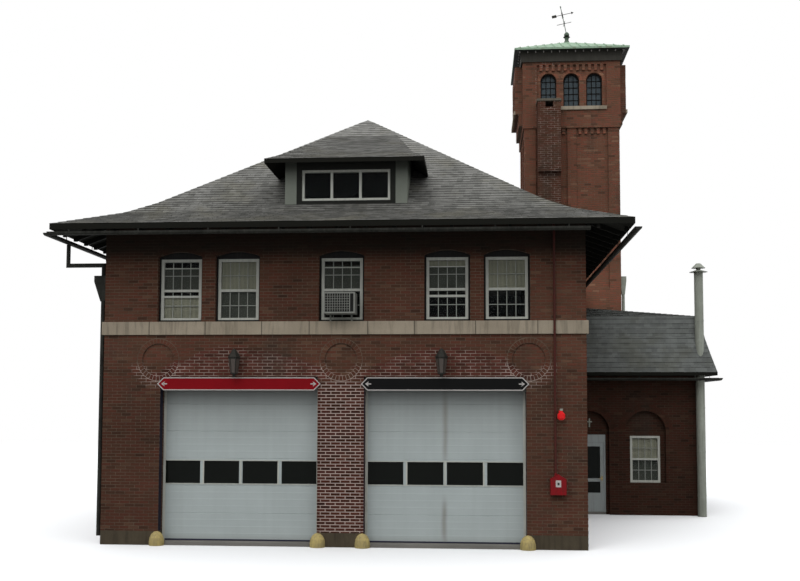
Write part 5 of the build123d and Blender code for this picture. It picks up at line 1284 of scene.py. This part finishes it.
# %% Belt stones, sign edges and door trims
STONE_GAP = 0.009
BELT_X, BELT_Y = 5.265, 7.545
BELT_STOP = -0.86
STONES = (
    ("front", BELT_Y, STONE_JOINTS),
    ("back", BELT_Y, np.linspace(-BELT_X, BELT_X, 10)),
    ("left", BELT_X, np.linspace(-BELT_Y, BELT_Y, 13)),
    ("right", BELT_X, np.linspace(-BELT_Y, BELT_STOP, 7)),
)
SIGN_AXIS, SIGN_FACE = 3.465, ("front", 7.53)
SIGN_BODY, SIGN_RISE, SIGN_EDGE = 1.65, 0.14, 0.020
ARROW_PLACE = 1.60
DOOR_FACE = ("front", 7.2)
SIDE_TRIM, SIDE_TRIM_HALF, SIDE_TRIM_RISE = 1.695, 0.027, (0.075, 3.615)
PANE_PITCH, PANE_BAR_HALF, PANE_RISE = 0.8275, 0.016, (1.29, 1.81)
PANE_RAIL_HALF, PANE_RAILS = 1.66, ((1.795, 1.812), (1.285, 1.303))


def stones(side, distance, cuts):
    """Belt stones between cuts along a wall, each a little proud of the joint."""
    lows = [(left + STONE_GAP / 2, BELT[0] + 0.002, SUNK) for left in cuts[:-1]]
    highs = [(right - STONE_GAP / 2, BELT[1] - 0.002, 0.004) for right in cuts[1:]]
    return box((side, distance), lows, highs)


def sign_edge(middle):
    """White strips round a board with pointed ends, as wedges between two outlines."""
    outer = np.array([(-1, -1), (1, -1), (1, 0), (1, 1), (-1, 1), (-1, 0)]) * (SIGN_BODY, SIGN_RISE)
    outer[[2, 5], 0] = SIGN_BODY + SIGN_RISE, -SIGN_BODY - SIGN_RISE
    inner = outer * ((SIGN_BODY - SIGN_EDGE * 0.4) / SIGN_BODY, (SIGN_RISE - SIGN_EDGE) / SIGN_RISE)
    inner[[2, 5], 0] = outer[[2, 5], 0] - np.array((1, -1)) * SIGN_EDGE * 1.4
    flat = np.stack((outer, np.roll(outer, -1, 0), np.roll(inner, -1, 0), inner), 1)
    return raised(SIGN_FACE, flat + (middle, SIGN_AXIS), 0.003)


def arrow(middle, way):
    """A small bare arrow near a board's end: a head and a shaft."""
    head = np.array([(0.10, 0), (0.02, 0.055), (0.045, 0), (0.02, -0.055)])[::-way]
    shaft = np.array([(-0.03, -0.012), (0.05, -0.012), (0.05, 0.012), (-0.03, 0.012)])[::way]
    at = (middle + way * ARROW_PLACE, SIGN_AXIS)
    return raised(SIGN_FACE, np.stack((head, shaft)) * (way, 1) + at, 0.002)


piece("belt_stones", [stones(*row) for row in STONES], finishes["limestone"], "limestone")
edges = [sign_edge(x) for x in BAY_MIDDLES] + [arrow(x, way) for x in BAY_MIDDLES for way in (-1, 1)]
piece("sign_edges", edges, finishes["sign_white"], "sign_paint")
trims = []
for x in BAY_MIDDLES:
    for places, half, rise, back, front in (
        ((x - SIDE_TRIM, x + SIDE_TRIM), SIDE_TRIM_HALF, SIDE_TRIM_RISE, SUNK, 0.012),
        (x + spread(3, PANE_PITCH), PANE_BAR_HALF, PANE_RISE, 0, 0.006),
        *(((x,), PANE_RAIL_HALF, rise, 0, 0.008) for rise in PANE_RAILS),
    ):
        trims.append(in_row(DOOR_FACE, places, half, (rise[0], back), (rise[1], front)))
piece("vehicle_door_trims", trims, finishes["sash_white"], "white_paint")

# %% [markdown]
# High up, the copper roof has battens along its slopes, the corbels end in paler brick that
# catches the light, and a row of pale clips runs under the tower's eave. Under the main roof's
# eaves the rafter tails end in blocks, as the notched lower edge in the photograph shows.

# %% Copper seams, corbel ends, clips and rafter ends
SEAM_PITCH, SEAM_HALF, SEAM_RISE = 0.267, 0.011, (-0.01, 0.024)
COPPER_EDGE, COPPER_LOW, COPPER_TOP, COPPER_INNER = 1.79, 14.26, 15.0, 0.11
CORBEL_PITCH, CORBEL_HALF, CORBEL_OUT = 0.19, 0.036, (-0.03, 0.004)
HIGH_CORBELS, LOW_CORBELS = (13.592, 13.655), (11.562, 11.615)
CLIP_PITCH, CLIP_HALF, CLIP_PLANE, CLIP_RISE, CLIP_OUT = 0.249, 0.014, 1.62, (14.145, 14.198), (0, 0.03)
TAIL_PITCH, TAIL_HALF, TAIL_RISE, TAIL_OUT = 0.6, 0.032, (6.652, 6.745), (-0.13, -0.056)
TAIL_CLEAR = 1.54


def roof_seams(side):
    """Battens from the tower's eave up to the hips: along s, each ends where the run is the
    edge less s, and its height is the slope times its run."""
    middle, centre = tower_middle[side]
    offset = spread(13, SEAM_PITCH)
    run = np.minimum(COPPER_EDGE - abs(offset), COPPER_EDGE - COPPER_INNER) - 0.02
    steep = (COPPER_TOP - COPPER_LOW) / (COPPER_EDGE - COPPER_INNER)
    corners = [
        np.stack((middle + offset + along, COPPER_LOW + run * reach * steep + lift, -run * reach), 1)
        for lift in SEAM_RISE
        for along, reach in ((-SEAM_HALF, 0.0), (SEAM_HALF, 0.0), (SEAM_HALF, 1.0), (-SEAM_HALF, 1.0))
    ]
    return on_wall((side, centre + COPPER_EDGE), np.stack(corners, 1))


def ends_in_row(wall, places, half, rise, out):
    """A row of like blocks about places, between two heights and two distances out."""
    return in_row(wall, places, half, *zip(rise, out))


piece("copper_seams", [roof_seams(side) for side in SIDES], finishes["copper_patina"], "copper_patina")
ends = []
clips = []
tails = []
for side, (middle, centre) in tower_middle.items():
    if side in ("front", "back"):
        places = middle + spread(11, CORBEL_PITCH)
        wall = (side, centre + BELFRY_HALF)
        ends.append(ends_in_row(wall, places, CORBEL_HALF, HIGH_CORBELS, CORBEL_OUT))
    for panel in (-PANEL_X, PANEL_X):
        places = middle + panel + spread(5, CORBEL_PITCH)
        wall = (side, centre + TOWER_HALF)
        ends.append(ends_in_row(wall, places, CORBEL_HALF, LOW_CORBELS, CORBEL_OUT))
    places = middle + spread(14, CLIP_PITCH)
    clips.append(ends_in_row((side, centre + CLIP_PLANE), places, CLIP_HALF, CLIP_RISE, CLIP_OUT))
for side, distance, count in (
    ("front", ROOF_Y, 19), ("back", ROOF_Y, 19), ("left", ROOF_X, 27), ("right", ROOF_X, 27)
):
    places = spread(count, TAIL_PITCH)
    if side == "right":
        places = places[abs(places - TOWER_Y) > TAIL_CLEAR]
    tails.append(ends_in_row((side, distance), places, TAIL_HALF, TAIL_RISE, TAIL_OUT))
piece("corbel_ends", ends, tower_arch_finish, "brick")
piece("eave_clips", clips, finishes["sign_white"], "white_paint")
piece("rafter_ends", tails, finishes["green_black_trim"], "green_trim")

# %% [markdown]
# The last pieces are fittings: frosted panes in the six-sided wall lanterns, a socket for the
# red lamp, the cooler's back and grille, the alarm's label and pull, bands round the exhaust
# duct, the bracket over the entrance, and the curtain that swings with the entrance door.

# %% Lantern panes, bands and other fittings
LANTERN_FOOT, LANTERN_EYE = np.array((3.67, 0.080)), np.array((4.03, 0.130))
LANTERNS = ((-2.285, -7.69), (2.165, -7.69))
FLAT_REACH, PANE_HALF = 0.866, 0.37
DUCT, DUCT_BANDS = (9.05, -0.6), (0.55, 1.75, 2.95, 4.15, 5.35)
LAMP = (4.67, -7.65)
COOLER_FACE = ("front", 7.85)


def lantern_panes(middle):
    """Six thin panes that lean out from a lantern's foot to its eye."""
    made = []
    for angle in np.radians(30 + 60 * np.arange(6)):
        outward = np.array((np.cos(angle), np.sin(angle)))
        sideways = np.array((-np.sin(angle), np.cos(angle)))
        corners = []
        for out in (-0.002, 0.002):
            for share, way in ((0.08, -1), (0.08, 1), (0.90, 1), (0.90, -1)):
                height, radius = LANTERN_FOOT + (LANTERN_EYE - LANTERN_FOOT) * share
                flat = middle + outward * (radius * FLAT_REACH + out) + sideways * way * radius * PANE_HALF
                corners.append((*flat, height))
        made.append(corners)
    return np.array(made)


def bands(centre, inner, outer, heights, tall, sides=16):
    """Rings round an upright pipe, as wedge blocks."""
    turn = np.arange(sides + 1) * 2 * np.pi / sides
    edge = np.stack((np.cos(turn), np.sin(turn)), 1)
    made = []
    for low in heights:
        corners = [
            np.c_[place * reach + centre, np.full(sides, z)]
            for z in (low, low + tall)
            for reach, place in ((outer, edge[:-1]), (outer, edge[1:]), (inner, edge[1:]), (inner, edge[:-1]))
        ]
        made.append(np.stack(corners, 1))
    return np.concatenate(made)


# Each fitting's blocks, finish and slot, and the body it rides on where that isn't the building.
fittings = {
    "lantern_panes": (np.concatenate([lantern_panes(at) for at in LANTERNS]), "lantern_glass", "iron"),
    "lamp_socket": (bands(LAMP, 0.0001, 0.035, (2.905,), 0.045, 12), "galvanised_sheet", "galvanised"),
    "cooler_back": (
        box(COOLER_FACE, (-0.305, 4.99, -0.002), (0.305, 5.38, 0.003)), "cooler_fins", "beige_plastic"),
    "cooler_grille": (
        np.concatenate((bars(COOLER_FACE, (-0.30, 0.22, 4.995, 5.375), 10, 7, 0.009, 0.002, 0.012),
                        box(COOLER_FACE, (0.215, 4.99, 0.002), (0.232, 5.38, 0.012)))),
        "cooler_case", "beige_plastic"),
    "alarm_label": (
        box(("front", 7.66), (4.545, 1.315, -0.002), (4.655, 1.455, 0.003)), "sign_white", "red_paint"),
    "alarm_pull": (box(("front", 7.663), (4.58, 1.36, SUNK), (4.62, 1.41, 0.003)), "black_iron", "red_paint"),
    "duct_bands": (bands(DUCT, 0.118, 0.127, DUCT_BANDS, 0.03), "galvanised_sheet", "galvanised"),
    "entrance_lamp": (
        box(("front", 0.29), [(6.035, 2.42, 0), (5.99, 2.55, 0.01)],
            [(6.07, 2.66, 0.03), (6.12, 2.585, 0.05)]),
        "galvanised_sheet", "galvanised"),
    "door_curtain": (
        box(("front", 0.262), (5.80, 1.20, -0.004), (6.20, 1.84, 0.0)),
        "door_curtain", "white_paint", "entrance_door"),
}
for name, (corners, finish, *rest) in fittings.items():
    piece(name, [corners], finishes[finish], *rest)

# %% [markdown]
# Last, the number of triangles that the pieces add. The dressed building's box is the CAD
# model's, because nothing that is added stands out past it.

# %% Triangles added
print("triangles added:", sum(made_blocks.values()) * BLOCK_TRIANGLES)
